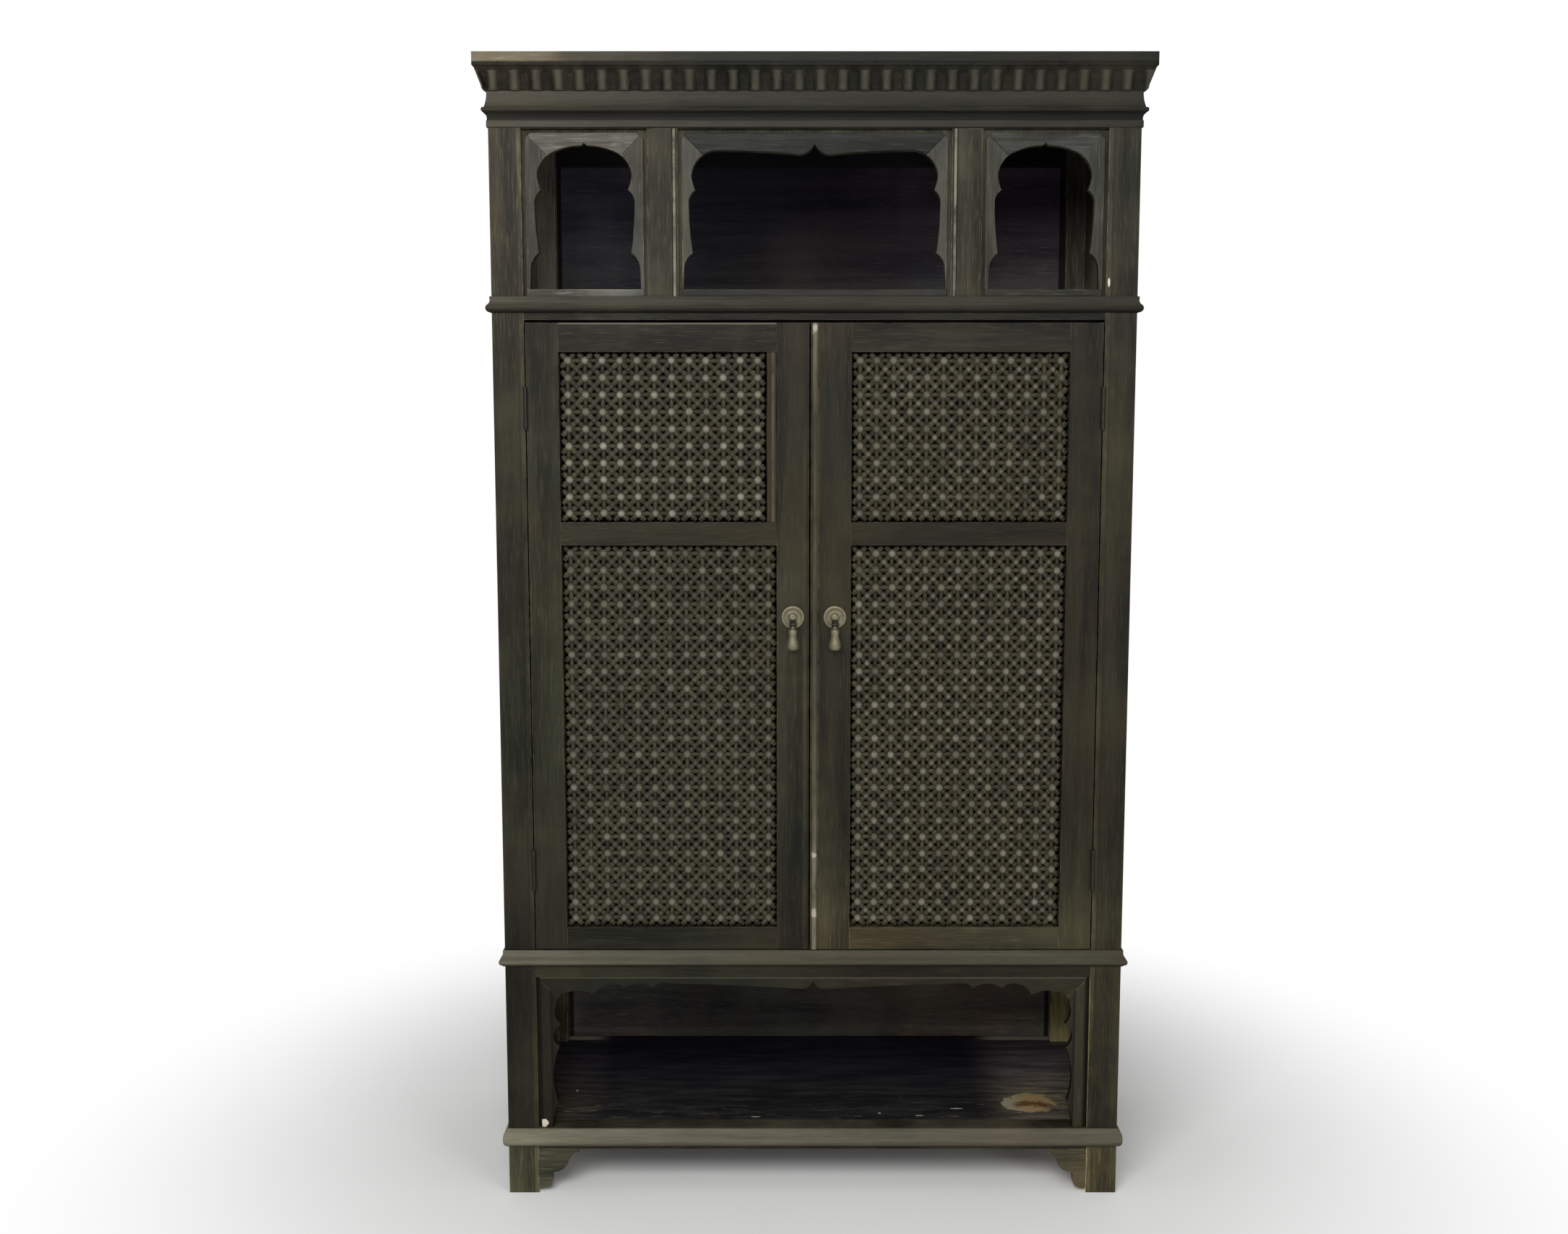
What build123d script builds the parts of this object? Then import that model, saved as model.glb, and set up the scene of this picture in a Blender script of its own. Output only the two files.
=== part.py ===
from build123d import *

# Tall carved cabinet: open niche with three scalloped arches, a cupboard with two turned-lattice
# doors, an open lower compartment with a scalloped apron, and bracket feet.
#
# Frame: millimetres, +Z up, the front faces -Y. The origin is on the floor, under the middle
# of the overall box.

import os
from math import atan2, cos, degrees, hypot, pi, sin

# ---------------------------------------------------------------- driving dimensions

# overall
total_height = 1930.0
body_width = 1060.0
body_depth = 450.0

# posts and rails of the carcass
post_width = 52.0
post_depth = 45.0
front_rail_depth = 40.0
side_rail_thickness = 22.0
back_rail_thickness = 20.0
foot_height = 80.0
base_rail_height = 38.0
compartment_height = 272.0
lower_rail_height = 48.0
waist_rail_height = 38.0
niche_height = 268.0
top_rail_height = 101.0
slab_thickness = 16.0

# tenons and panel tongues
tenon_length = 20.0
tenon_thickness = 8.0
tenon_shoulder = 8.5
tenon_gap = 0.2
tongue_depth = 6.0
groove_gap = 0.4
side_panel_thickness = 10.0
back_panel_thickness = 8.0
panel_gap = 0.1

# horizontal boards
board_thickness = 16.0
board_seat = 4.0
shelf_thickness = 18.0
shelf_setback = 60.0
shelf_side_gap = 1.0
shelf_count = 2
cleat_height = 20.0
cleat_reach = 16.0

# cornice: rounded foot, fluted slope, square lip
cornice_overhang = 21.0
cornice_height = 42.0
cornice_foot = 5.0
cornice_foot_round = 3.5
cornice_foot_height = 7.0
cornice_lip = 5.0
cornice_lip_step = 3.0

# mouldings: how tall each is, how far its nose stands out, and the nose's level from below
moulding_edge = 3.0
moulding_fillet = 4.0
neck_height = 57.0
neck_projection = 9.5
neck_nose_level = 27.0
neck_nose_radius = 4.2
neck_rim = 1.5
neck_band = 2.5
neck_band_height = 11.0
neck_band_bevel = 1.0
waist_moulding_height = 26.0
waist_projection = 9.0
waist_nose_level = 6.5
lower_moulding_height = 28.0
lower_projection = 9.5
lower_nose_level = 8.0
base_moulding_height = 32.0
base_projection = 8.5
base_nose_level = 13.0
base_top_edge = 1.0

# niche arches; the margins are from the edge of the panel to the widest part of the opening
mullion_width = 50.0
mullion_depth = 24.0
mullion_bead_width = 6.0
mullion_bead_nose = 1.6
mullion_bead_inset = 3.0
side_arch_panel_width = 205.0
arch_board_thickness = 16.0
arch_recess = 3.0
arch_channel_width = 6.0
arch_channel_depth = 5.0
arch_corner_clip = 10.0
arch_margin_side = 25.5
arch_margin_centre = 22.0
arch_sill_height = 12.0
side_arch_crown = 25.0
centre_arch_crown = 34.0
arch_lobe_drop = 75.0
arch_mitre_reach = 60.0

# scallops of the niche jambs, measured outwards or inwards from the side of the top lobe
jamb_flare = 14.0
jamb_shoulder = 12.5
jamb_lower_cusp = 1.5
jamb_hollow = 4.5
jamb_upper_cusp = 6.0
jamb_cusp_drop = 22.0

# tips of the arch heads: half width, and height over the head beside them
side_tip_half = 7.0
side_tip_rise = 5.5
centre_shoulder = 38.0
centre_dip = 6.0
centre_tip_half = 32.0
centre_tip_rise = 10.0

# lower scalloped frame, from the corners to the middle
apron_margin = 32.0
apron_top_margin = 12.0
apron_mitre_reach = 64.0
apron_flare = 6.0
apron_hollow = 4.0
apron_low_cusp = 3.0
apron_middle_cusp = 6.0
apron_high_cusp = 9.0
apron_lobe_drop = 56.0
apron_lobe_height = 38.0
apron_corner_width = 69.0
apron_corner_drop = 21.0
apron_scallop_width = 50.5
apron_scallop_count = 2
apron_scallop_drop = 9.0
apron_scallop_rest = 1.0
apron_step_width = 18.0
apron_step_sag = 3.0
apron_tip_half = 22.0
apron_tip_rise = 4.0

# bracket feet
bracket_width = 70.0
bracket_thickness = 18.0
bracket_tip_height = 8.0

# doors
door_thickness = 24.0
door_hinge_gap = 2.0
door_top_gap = 4.5
door_bottom_gap = 2.0
meeting_gap = 2.5
meeting_bead_width = 14.0
meeting_bead_nose = 4.0
meeting_bead_edge = 0.8
stile_width = 54.0
door_top_rail = 47.5
door_mid_rail = 38.5
door_bottom_rail = 38.0
upper_lattice_height = 281.0
door_stop_gap = 0.5
door_stop_depth = 12.0
door_stop_height = 10.0

# turned lattice
lattice_pitch = 28.2
lattice_bar_width = 10.0
lattice_bar_thickness = 6.8
lattice_seat = 4.0
lattice_recess = 5.2

# hinges
hinge_height = 70.0
hinge_leaf_depth = 22.0
hinge_leaf_thickness = 2.0
hinge_leaf_gap = 0.4
hinge_barrel_radius = 3.5
hinge_barrel_flats = 16
hinge_face_gap = 0.5
hinge_pin_radius = 1.6
hinge_running_fit = 0.06
hinge_knuckle_gap = 0.4
hinge_end_distance = 140.0
hinge_count = 2

# pulls
pull_height = 1015.0
plate_radius = 19.5
plate_rim = 4.0
plate_rim_width = 4.5
plate_dish = 2.2
boss_radius = 6.5
boss_height = 5.5
plate_flats = 32
pivot_drop = 11.0
pivot_standoff = 15.0
lug_thickness = 2.0
lug_radius = 3.0
lug_gap = 0.3
eye_radius = 3.6
eye_width = 5.8
eye_overlap = 1.0
pull_pin_radius = 1.5
pull_running_fit = 0.06
drop_length = 44.0
drop_radius = 10.3
drop_head_radius = 5.2
drop_head_length = 8.0
drop_neck_radius = 3.0
drop_neck_length = 5.0
drop_flats = 16

# ---------------------------------------------------------------- places worked out

half_width = body_width / 2
pull_reach = pivot_standoff + drop_radius
y_front = (max(cornice_overhang, pull_reach) - body_depth) / 2
y_back = y_front + body_depth
x_post = half_width - post_width
y_front_post = y_front + post_depth
y_back_post = y_back - post_depth

z_base = foot_height
z_floor = z_base + base_rail_height
z_lower = z_floor + compartment_height
z_cupboard = z_lower + lower_rail_height
z_top = total_height - slab_thickness
z_crown = z_top - top_rail_height
z_niche = z_crown - niche_height
z_waist = z_niche - waist_rail_height
rail_levels = [(z_base, z_floor), (z_lower, z_cupboard), (z_waist, z_niche), (z_crown, z_top)]
panel_levels = [(z_floor, z_lower), (z_cupboard, z_waist), (z_niche, z_crown)]

opening_width = 2 * x_post
door_width = (opening_width - 2 * door_hinge_gap - meeting_bead_width - meeting_gap) / 2
z_door = z_cupboard + door_bottom_gap
z_door_top = z_waist - door_top_gap
z_lower_lattice = z_door + door_bottom_rail
z_upper_lattice_top = z_door_top - door_top_rail
z_upper_lattice = z_upper_lattice_top - upper_lattice_height
z_lower_lattice_top = z_upper_lattice - door_mid_rail
door_hinge_edge = x_post - door_hinge_gap
door_free_edge = door_hinge_edge - door_width

hinge_axis_x = x_post - door_hinge_gap / 2
hinge_axis_y = y_front - hinge_barrel_radius - hinge_face_gap
hinge_span = z_door_top - z_door - 2 * hinge_end_distance
hinge_levels = [
    z_door + hinge_end_distance + hinge_span * step / (hinge_count - 1)
    for step in range(hinge_count)
]

sides = {"left": -1, "right": 1}


# ---------------------------------------------------------------- helpers

def block(x0, x1, y0, y1, z0, z1):
    """Box between two corners; the two values of a pair may come in either order."""
    size = (abs(x1 - x0), abs(y1 - y0), abs(z1 - z0))
    middle = ((x0 + x1) / 2, (y0 + y1) / 2, (z0 + z1) / 2)
    return Pos(*middle) * Box(*size)


def trace(start, steps):
    """Edges from start. A step is the end of a straight line, or (point on an arc, its end)."""
    edges = []
    here = start
    for step in steps:
        if isinstance(step[0], tuple):
            edges.append(ThreePointArc(here, step[0], step[1]))
            here = step[1]
        else:
            edges.append(Line(here, step))
            here = step
    edges.append(Line(here, start))
    return edges


def closed_face(start, steps):
    """Flat face inside the closed outline that trace gives."""
    return make_face(Curve() + trace(start, steps))


def upright(sketch, x, y, z, thickness):
    """Stand a flat drawing up, facing the front: its front lies at y, its origin at x and z."""
    plane = Plane(origin=(x, y + thickness, z), x_dir=(1, 0, 0), z_dir=(0, -1, 0))
    return extrude(plane * sketch, amount=thickness)


def cut_all(piece, cutters):
    """Piece with every cutter that reaches it taken away."""
    box = piece.bounding_box()
    for cutter in cutters:
        other = cutter.bounding_box()
        apart = (
            other.min.X >= box.max.X or other.max.X <= box.min.X
            or other.min.Y >= box.max.Y or other.max.Y <= box.min.Y
            or other.min.Z >= box.max.Z or other.max.Z <= box.min.Z
        )
        if not apart:
            piece = piece - cutter
    return piece


def write(name, *solids):
    """One file for one named piece, or for a group of like pieces."""
    found = [one for shape in solids for one in shape.solids()]
    export_step(Compound(children=found) if len(found) > 1 else found[0], f"parts/{name}.step")


# ---------------------------------------------------------------- tenoned rails

def rail_along_x(x0, x1, y0, y1, z0, z1):
    """Rail with a tenon on each end, and the block that cuts both its mortises."""
    middle = (y0 + y1) / 2
    half = tenon_thickness / 2
    low, high = z0 + tenon_shoulder, z1 - tenon_shoulder
    tenon = block(x0 - tenon_length, x1 + tenon_length, middle - half, middle + half, low, high)
    reach = tenon_length + tenon_gap
    wide = half + tenon_gap
    mortise = block(
        x0 - reach, x1 + reach, middle - wide, middle + wide, low - tenon_gap, high + tenon_gap
    )
    return block(x0, x1, y0, y1, z0, z1) + tenon, mortise


def rail_along_y(x0, x1, y0, y1, z0, z1):
    """The same, for a rail that runs from front to back."""
    middle = (x0 + x1) / 2
    half = tenon_thickness / 2
    low, high = z0 + tenon_shoulder, z1 - tenon_shoulder
    tenon = block(middle - half, middle + half, y0 - tenon_length, y1 + tenon_length, low, high)
    reach = tenon_length + tenon_gap
    wide = half + tenon_gap
    mortise = block(
        middle - wide, middle + wide, y0 - reach, y1 + reach, low - tenon_gap, high + tenon_gap
    )
    return block(x0, x1, y0, y1, z0, z1) + tenon, mortise


def panel_in_grooves(x0, x1, y0, y1, z0, z1, along):
    """Panel whose tongues reach into the frame, and the block that cuts the grooves.

    The sizes given are the sight size; along is the axis of the panel's width.
    """
    reach = tongue_depth
    cut = tongue_depth + groove_gap
    if along == "x":
        panel = block(x0 - reach, x1 + reach, y0, y1, z0 - reach, z1 + reach)
        groove = block(x0 - cut, x1 + cut, y0 - panel_gap, y1 + panel_gap, z0 - cut, z1 + cut)
    else:
        panel = block(x0, x1, y0 - reach, y1 + reach, z0 - reach, z1 + reach)
        groove = block(x0 - panel_gap, x1 + panel_gap, y0 - cut, y1 + cut, z0 - cut, z1 + cut)
    return panel, groove


def mullion_bead(sign, inner):
    """Section of the half-round bead near a mullion's inner edge; it sinks a little into it."""
    near = inner + sign * mullion_bead_inset
    far = near + sign * mullion_bead_width
    sunk = y_front + mullion_bead_nose
    return closed_face((near, sunk), [
        (near, y_front), (((near + far) / 2, y_front - mullion_bead_nose), (far, y_front)),
        (far, sunk),
    ])


def make_carcass():
    """Posts, rails, panels and horizontal boards."""
    os.makedirs("parts", exist_ok=True)
    mortises = []
    grooves = []

    front_names = ["front_base_rail", "front_lower_rail", "front_waist_rail", "front_top_rail"]
    front_rails = {}
    back_rails = []
    for name, (low, high) in zip(front_names, rail_levels):
        rail, mortise = rail_along_x(
            -x_post, x_post, y_front, y_front + front_rail_depth, low, high
        )
        front_rails[name] = rail
        mortises.append(mortise)
        rail, mortise = rail_along_x(
            -x_post, x_post, y_back - back_rail_thickness, y_back, low, high
        )
        back_rails.append(rail)
        mortises.append(mortise)

    side_rails = {}
    side_panels = {}
    for side, sign in sides.items():
        outer = sign * half_width
        inner = sign * (half_width - side_rail_thickness)
        side_rails[side] = []
        for low, high in rail_levels:
            rail, mortise = rail_along_y(outer, inner, y_front_post, y_back_post, low, high)
            side_rails[side].append(rail)
            mortises.append(mortise)
        middle = (outer + inner) / 2
        half = side_panel_thickness / 2
        side_panels[side] = []
        for low, high in panel_levels:
            panel, groove = panel_in_grooves(
                middle - half, middle + half, y_front_post, y_back_post, low, high, "y"
            )
            side_panels[side].append(panel)
            grooves.append(groove)

    back_panels = []
    middle = y_back - back_rail_thickness / 2
    half = back_panel_thickness / 2
    for low, high in panel_levels:
        panel, groove = panel_in_grooves(
            -x_post, x_post, middle - half, middle + half, low, high, "x"
        )
        back_panels.append(panel)
        grooves.append(groove)

    # mullions of the niche, tenoned into the rails above and below
    x_mullion = x_post - side_arch_panel_width
    mullion_middle = y_front + mullion_depth / 2
    mullion_mortises = []
    for side, sign in sides.items():
        outer, inner = sign * x_mullion, sign * (x_mullion - mullion_width)
        low, high = z_niche, z_crown
        near, far = min(outer, inner) + tenon_shoulder, max(outer, inner) - tenon_shoulder
        half = tenon_thickness / 2
        tenon = block(
            near, far, mullion_middle - half, mullion_middle + half,
            low - tenon_length, high + tenon_length,
        )
        wide = half + tenon_gap
        mullion_mortises.append(block(
            near - tenon_gap, far + tenon_gap, mullion_middle - wide, mullion_middle + wide,
            low - tenon_length - tenon_gap, high + tenon_length + tenon_gap,
        ))
        bead = extrude(Pos(0, 0, low) * mullion_bead(sign, inner), amount=high - low)
        body = block(outer, inner, y_front, y_front + mullion_depth, low, high)
        write(f"niche_mullion_{side}", body + tenon + bead)

    # boards that lie in rebates of the rails, notched round the posts
    posts = {}
    for side, sign in sides.items():
        outer, inner = sign * half_width, sign * x_post
        posts[f"post_front_{side}"] = block(outer, inner, y_front, y_front_post, 0, z_top)
        posts[f"post_back_{side}"] = block(outer, inner, y_back_post, y_back, 0, z_top)
    board_x = half_width - side_rail_thickness + board_seat
    board_front = y_front + front_rail_depth - board_seat
    board_back = y_back - back_rail_thickness + board_seat
    boards = {}
    seats = []
    for name, level in zip(
        ["compartment_floor", "cupboard_floor", "niche_floor"], [z_floor, z_cupboard, z_niche]
    ):
        seat = block(-board_x, board_x, board_front, board_back, level - board_thickness, level)
        seats.append(seat)
        boards[name] = cut_all(seat, posts.values())

    for name, board in boards.items():
        write(name, board)
    for name, rail in front_rails.items():
        write(name, cut_all(rail, seats + mullion_mortises))
    write("back_rails", *[cut_all(rail, seats + grooves) for rail in back_rails])
    write("back_panels", *back_panels)
    for side in sides:
        rails = [cut_all(rail, seats + grooves) for rail in side_rails[side]]
        write(f"side_rails_{side}", *rails)
        write(f"side_panels_{side}", *side_panels[side])

    leaf_seats = hinge_leaf_cutters("frame")
    for name, post in posts.items():
        write(name, cut_all(post, mortises + grooves + leaf_seats))

    write("top_slab", block(
        -half_width - cornice_overhang, half_width + cornice_overhang,
        y_front - cornice_overhang, y_back, z_top, total_height,
    ))


def make_shelves():
    """Two shelves inside the cupboard, each on a pair of cleats between the posts."""
    panel_inner = half_width - side_rail_thickness / 2 - side_panel_thickness / 2
    shelf_x = x_post - shelf_side_gap
    shelf_back = y_back - back_rail_thickness / 2 - back_panel_thickness / 2
    bay = (z_waist - z_cupboard) / (shelf_count + 1)
    shelves = []
    cleats = []
    for step in range(shelf_count):
        top = z_cupboard + bay * (step + 1)
        low = top - shelf_thickness
        shelves.append(block(-shelf_x, shelf_x, y_front + shelf_setback, shelf_back, low, top))
        for sign in sides.values():
            cleats.append(block(
                sign * (x_post - cleat_reach), sign * panel_inner,
                y_front_post, y_back_post, low - cleat_height, low,
            ))
    write("shelves", *shelves)
    write("shelf_cleats", *cleats)

    near = y_front + door_thickness + door_stop_gap
    far = near + door_stop_depth
    write(
        "door_stops",
        block(-x_post, x_post, near, far, z_waist - door_stop_height, z_waist),
        block(-x_post, x_post, near, far, z_cupboard, z_cupboard + door_stop_height),
    )


# ---------------------------------------------------------------- mouldings

def run_round(profile, low, high, reach):
    """Run a profile across the front and along both sides, with mitred front corners.

    The profile is drawn with x outwards from the body and y upwards from low.
    """
    length = body_width + 2 * reach
    far = half_width + reach
    ahead = y_front - reach
    front_plane = Plane(origin=(far, y_front, low), x_dir=(0, -1, 0), z_dir=(-1, 0, 0))
    right_plane = Plane(origin=(half_width, y_back, low), x_dir=(1, 0, 0), z_dir=(0, -1, 0))
    left_plane = Plane(origin=(-half_width, ahead, low), x_dir=(-1, 0, 0), z_dir=(0, 1, 0))
    height = high - low
    front_zone = Pos(0, 0, low) * extrude(make_face(Polyline(
        (-half_width, y_front), (-far, ahead), (far, ahead), (half_width, y_front), close=True,
    )), amount=height)
    pieces = {"front": extrude(front_plane * profile, amount=length) & front_zone}
    for side, plane, sign in (("left", left_plane, -1), ("right", right_plane, 1)):
        zone = Pos(0, 0, low) * extrude(make_face(Polyline(
            (sign * half_width, y_front), (sign * far, ahead),
            (sign * far, y_back), (sign * half_width, y_back), close=True,
        )), amount=height)
        pieces[side] = extrude(plane * profile, amount=body_depth + reach) & zone
    return pieces


def cornice_profile():
    """Rounded foot, a slope that carries the flutes, and a square lip under the slab."""
    shoulder = cornice_foot + cornice_foot_round
    under_lip = cornice_height - cornice_lip
    turn = (shoulder - 0.25 * cornice_foot_round, 0.4 * cornice_foot_height)
    return closed_face((0, 0), [
        (cornice_foot, 0), (turn, (shoulder, cornice_foot_height)),
        (cornice_overhang - cornice_lip_step, under_lip - cornice_lip_step),
        (cornice_overhang, under_lip), (cornice_overhang, cornice_height), (0, cornice_height),
    ])


def neck_profile():
    """Flat band, an undercut, a half-round nose, and a cove that sweeps up from it."""
    nose = neck_nose_level
    inner = neck_projection - neck_nose_radius
    low, high = nose - neck_nose_radius, nose + neck_nose_radius
    undercut = (0.55 * neck_rim + 0.25 * inner, neck_band_height + 0.6 * (low - neck_band_height))
    cove = (0.6 * neck_rim + 0.3 * inner, high + 0.42 * (neck_height - high))
    return closed_face((0, 0), [
        (neck_band, 0), (neck_band, neck_band_height - neck_band_bevel), (neck_rim, neck_band_height),
        (undercut, (inner, low)), ((neck_projection, nose), (inner, high)),
        (cove, (neck_rim, neck_height)), (0, neck_height),
    ])


def waist_profile():
    """Half-round nose at the foot, a cove and a fillet above."""
    out = waist_projection
    nose = waist_nose_level
    high = waist_moulding_height - moulding_fillet
    cove = (moulding_edge + 0.04 * out, 2 * nose + 0.4 * (high - 2 * nose))
    return closed_face((0, 0), [
        (moulding_edge, 0), ((out, nose), (0.66 * out, 2 * nose)), (cove, (moulding_edge, high)),
        (moulding_edge, waist_moulding_height), (0, waist_moulding_height),
    ])


def lower_profile():
    """Low nose on a thin edge, a cove and a fillet above."""
    out = lower_projection
    nose = lower_nose_level
    high = lower_moulding_height - moulding_fillet
    shoulder = 1.75 * nose
    cove = (moulding_edge + 0.16 * out, shoulder + 0.4 * (high - shoulder))
    return closed_face((0, 0), [
        (moulding_edge, 0), (1.4 * moulding_edge, 0.25 * nose),
        ((out, nose), (0.74 * out, shoulder)), (cove, (moulding_edge, high)),
        (moulding_edge, lower_moulding_height), (0, lower_moulding_height),
    ])


def base_profile():
    """Nose under a long quarter round."""
    out = base_projection
    nose = base_nose_level
    high = base_moulding_height
    return closed_face((0, 0), [
        (moulding_edge, 0), ((0.85 * out, 0.35 * nose), (out, nose)),
        ((0.82 * out, nose + 0.6 * (high - nose)), (moulding_edge, high - base_top_edge)),
        (moulding_edge, high), (0, high),
    ])


def make_mouldings():
    """Cornice, neck, waist, lower and base mouldings, round the front and both sides."""
    z_cornice = z_top - cornice_height
    cornice = run_round(cornice_profile(), z_cornice, z_top, cornice_overhang)
    for place, piece in cornice.items():
        write(f"cornice_{place}", piece)
    neck = run_round(neck_profile(), z_cornice - neck_height, z_cornice, neck_projection)
    write("neck_moulding", *neck.values())
    waist = run_round(waist_profile(), z_niche - waist_moulding_height, z_niche, waist_projection)
    write("waist_moulding", *waist.values())
    lower = run_round(
        lower_profile(), z_cupboard - lower_moulding_height, z_cupboard, lower_projection
    )
    write("lower_moulding", *lower.values())
    base = run_round(base_profile(), z_floor - base_moulding_height, z_floor, base_projection)
    write("base_moulding", *base.values())


# ---------------------------------------------------------------- scalloped openings

def with_mirror(half):
    """A half drawing and its mirror image across the centre line, as one face."""
    return half + mirror(half, about=Plane.YZ)


def jamb_scallops(lobe, lobe_height):
    """Jamb outline of a niche arch, from the sill up to the widest point of the lobe."""
    low = 0.32 * lobe_height
    high = lobe_height - jamb_cusp_drop
    between = high - low
    flare = (lobe + jamb_flare, 0)
    shoulder = (lobe + jamb_shoulder, 0.6 * low)
    steps = [
        flare, shoulder,
        ((lobe + 0.65 * jamb_shoulder, 0.83 * low), (lobe - jamb_lower_cusp, low)),
        ((lobe + 0.6 * jamb_hollow, low + 0.37 * between),
         (lobe + jamb_hollow, low + 0.76 * between)),
        ((lobe + 0.3 * jamb_hollow, low + 0.92 * between), (lobe - jamb_upper_cusp, high)),
        ((lobe - 0.3 * jamb_upper_cusp, high + 0.6 * jamb_cusp_drop), (lobe, lobe_height)),
    ]
    return (0, 0), steps


def side_arch_half(panel_half, panel_height):
    """Half of the opening of a side arch: jamb scallops, round lobe and a small ogee tip."""
    lobe = panel_half - arch_margin_side
    top = panel_height - side_arch_crown
    lobe_height = panel_height - arch_lobe_drop
    rise = top - lobe_height
    start, steps = jamb_scallops(lobe, lobe_height)
    steps += [
        ((0.87 * lobe, lobe_height + 0.52 * rise), (0.58 * lobe, lobe_height + 0.82 * rise)),
        ((0.35 * lobe, lobe_height + 0.93 * rise), (side_tip_half, top - 0.25 * side_tip_rise)),
        ((0.4 * side_tip_half, top), (0, top + 0.75 * side_tip_rise)),
    ]
    return closed_face(start, steps)


def centre_arch_half(panel_half, panel_height):
    """Half of the wide centre opening: the head dips a little towards its ogee tip."""
    lobe = panel_half - arch_margin_centre
    top = panel_height - centre_arch_crown
    lobe_height = panel_height - arch_lobe_drop
    rise = top - lobe_height
    start, steps = jamb_scallops(lobe, lobe_height)
    steps += [
        ((lobe - 0.28 * centre_shoulder, lobe_height + 0.64 * rise), (lobe - centre_shoulder, top)),
        ((0.5 * lobe, top - 0.25 * centre_dip), (centre_tip_half, top - centre_dip)),
        ((0.38 * centre_tip_half, top - 0.6 * centre_dip), (0, top + centre_tip_rise)),
    ]
    return closed_face(start, steps)


def apron_half(half, height):
    """Half of the lower opening, drawn from the floor up: jamb, corner lobe, scallops, apron."""
    edge = half - apron_margin
    top = height - apron_top_margin
    jamb = [
        (edge + apron_flare, 0),
        ((edge + apron_hollow, 0.08 * height), (edge - apron_low_cusp, 0.17 * height)),
        ((edge + apron_hollow, 0.36 * height), (edge - apron_middle_cusp, 0.53 * height)),
        ((edge + 0.75 * apron_hollow, 0.61 * height), (edge - apron_high_cusp, 0.68 * height)),
        ((edge, top - apron_lobe_drop), (edge - 0.5 * apron_hollow, top - apron_lobe_height)),
    ]
    corner = edge - apron_corner_width
    lobe = [
        ((edge - 0.12 * apron_corner_width, top - 0.6 * apron_lobe_height),
         (edge - 0.35 * apron_corner_width, top - 0.76 * apron_corner_drop)),
        ((edge - 0.67 * apron_corner_width, top - 0.67 * apron_corner_drop),
         (corner, top - apron_corner_drop)),
    ]
    scallops = []
    for step in range(apron_scallop_count):
        cusp = corner - (step + 1) * apron_scallop_width
        scallops.append(
            ((cusp + 0.5 * apron_scallop_width, top - apron_scallop_rest),
             (cusp, top - apron_scallop_drop))
        )
    cusp = corner - apron_scallop_count * apron_scallop_width
    step_middle = (cusp - 0.33 * apron_step_width, top - apron_step_sag)
    rise = [(step_middle, (cusp - apron_step_width, top))]
    tip = [
        ((0.3 * half, top - apron_tip_rise), (apron_tip_half, top - 2.5 * apron_tip_rise)),
        ((0.36 * apron_tip_half, top - 1.75 * apron_tip_rise), (0, top + apron_tip_rise)),
    ]
    return closed_face((0, 0), jamb + lobe + scallops + rise + tip)


def board_face(half, height, channel, clip):
    """Front outline of a scalloped frame: channel is sunk beside it, clip cuts its corners."""
    side = half - arch_channel_width
    top = height - channel
    if clip == 0:
        return Pos(0, top / 2) * Rectangle(2 * side, top)
    return make_face(Polyline(
        (-side, 0), (side, 0), (side, top - clip), (side - clip, top),
        (clip - side, top), (-side, top - clip), close=True,
    ))


def mitred_boards(outline, opening, half, height, reach, sill):
    """Head, two jambs and, if sill is over 0, a sill strip, cut from one pierced outline."""
    pierced = outline - opening
    deep = height - reach
    head = make_face(Polyline(
        (-half, height), (half, height), (half - reach, deep), (reach - half, deep), close=True,
    ))
    pieces = [pierced & head]
    for sign in sides.values():
        jamb = make_face(Polyline(
            (sign * half, sill), (sign * half, height),
            (sign * (half - reach), deep), (sign * (half - reach), sill), close=True,
        ))
        pieces.append(pierced & jamb)
    if sill > 0:
        pieces.append(outline & Pos(0, sill / 2) * Rectangle(2 * half, sill))
    return pieces


def scalloped_frame(x, z, half, height, opening, reach, sill, channel, clip):
    """Boards of one frame; a channel is sunk along the outer edges of their fronts."""
    y_board = y_front + arch_recess
    y_step = y_board + arch_channel_depth
    rear_thickness = arch_board_thickness - arch_channel_depth
    whole = Pos(0, height / 2) * Rectangle(2 * half, height)
    face = board_face(half, height, channel, clip)
    rears = mitred_boards(whole, opening, half, height, reach, sill)
    faces = mitred_boards(face, opening, half, height, reach, sill)
    return [
        upright(rear, x, y_step, z, rear_thickness)
        + upright(front, x, y_board, z, arch_channel_depth)
        for rear, front in zip(rears, faces)
    ]


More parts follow.
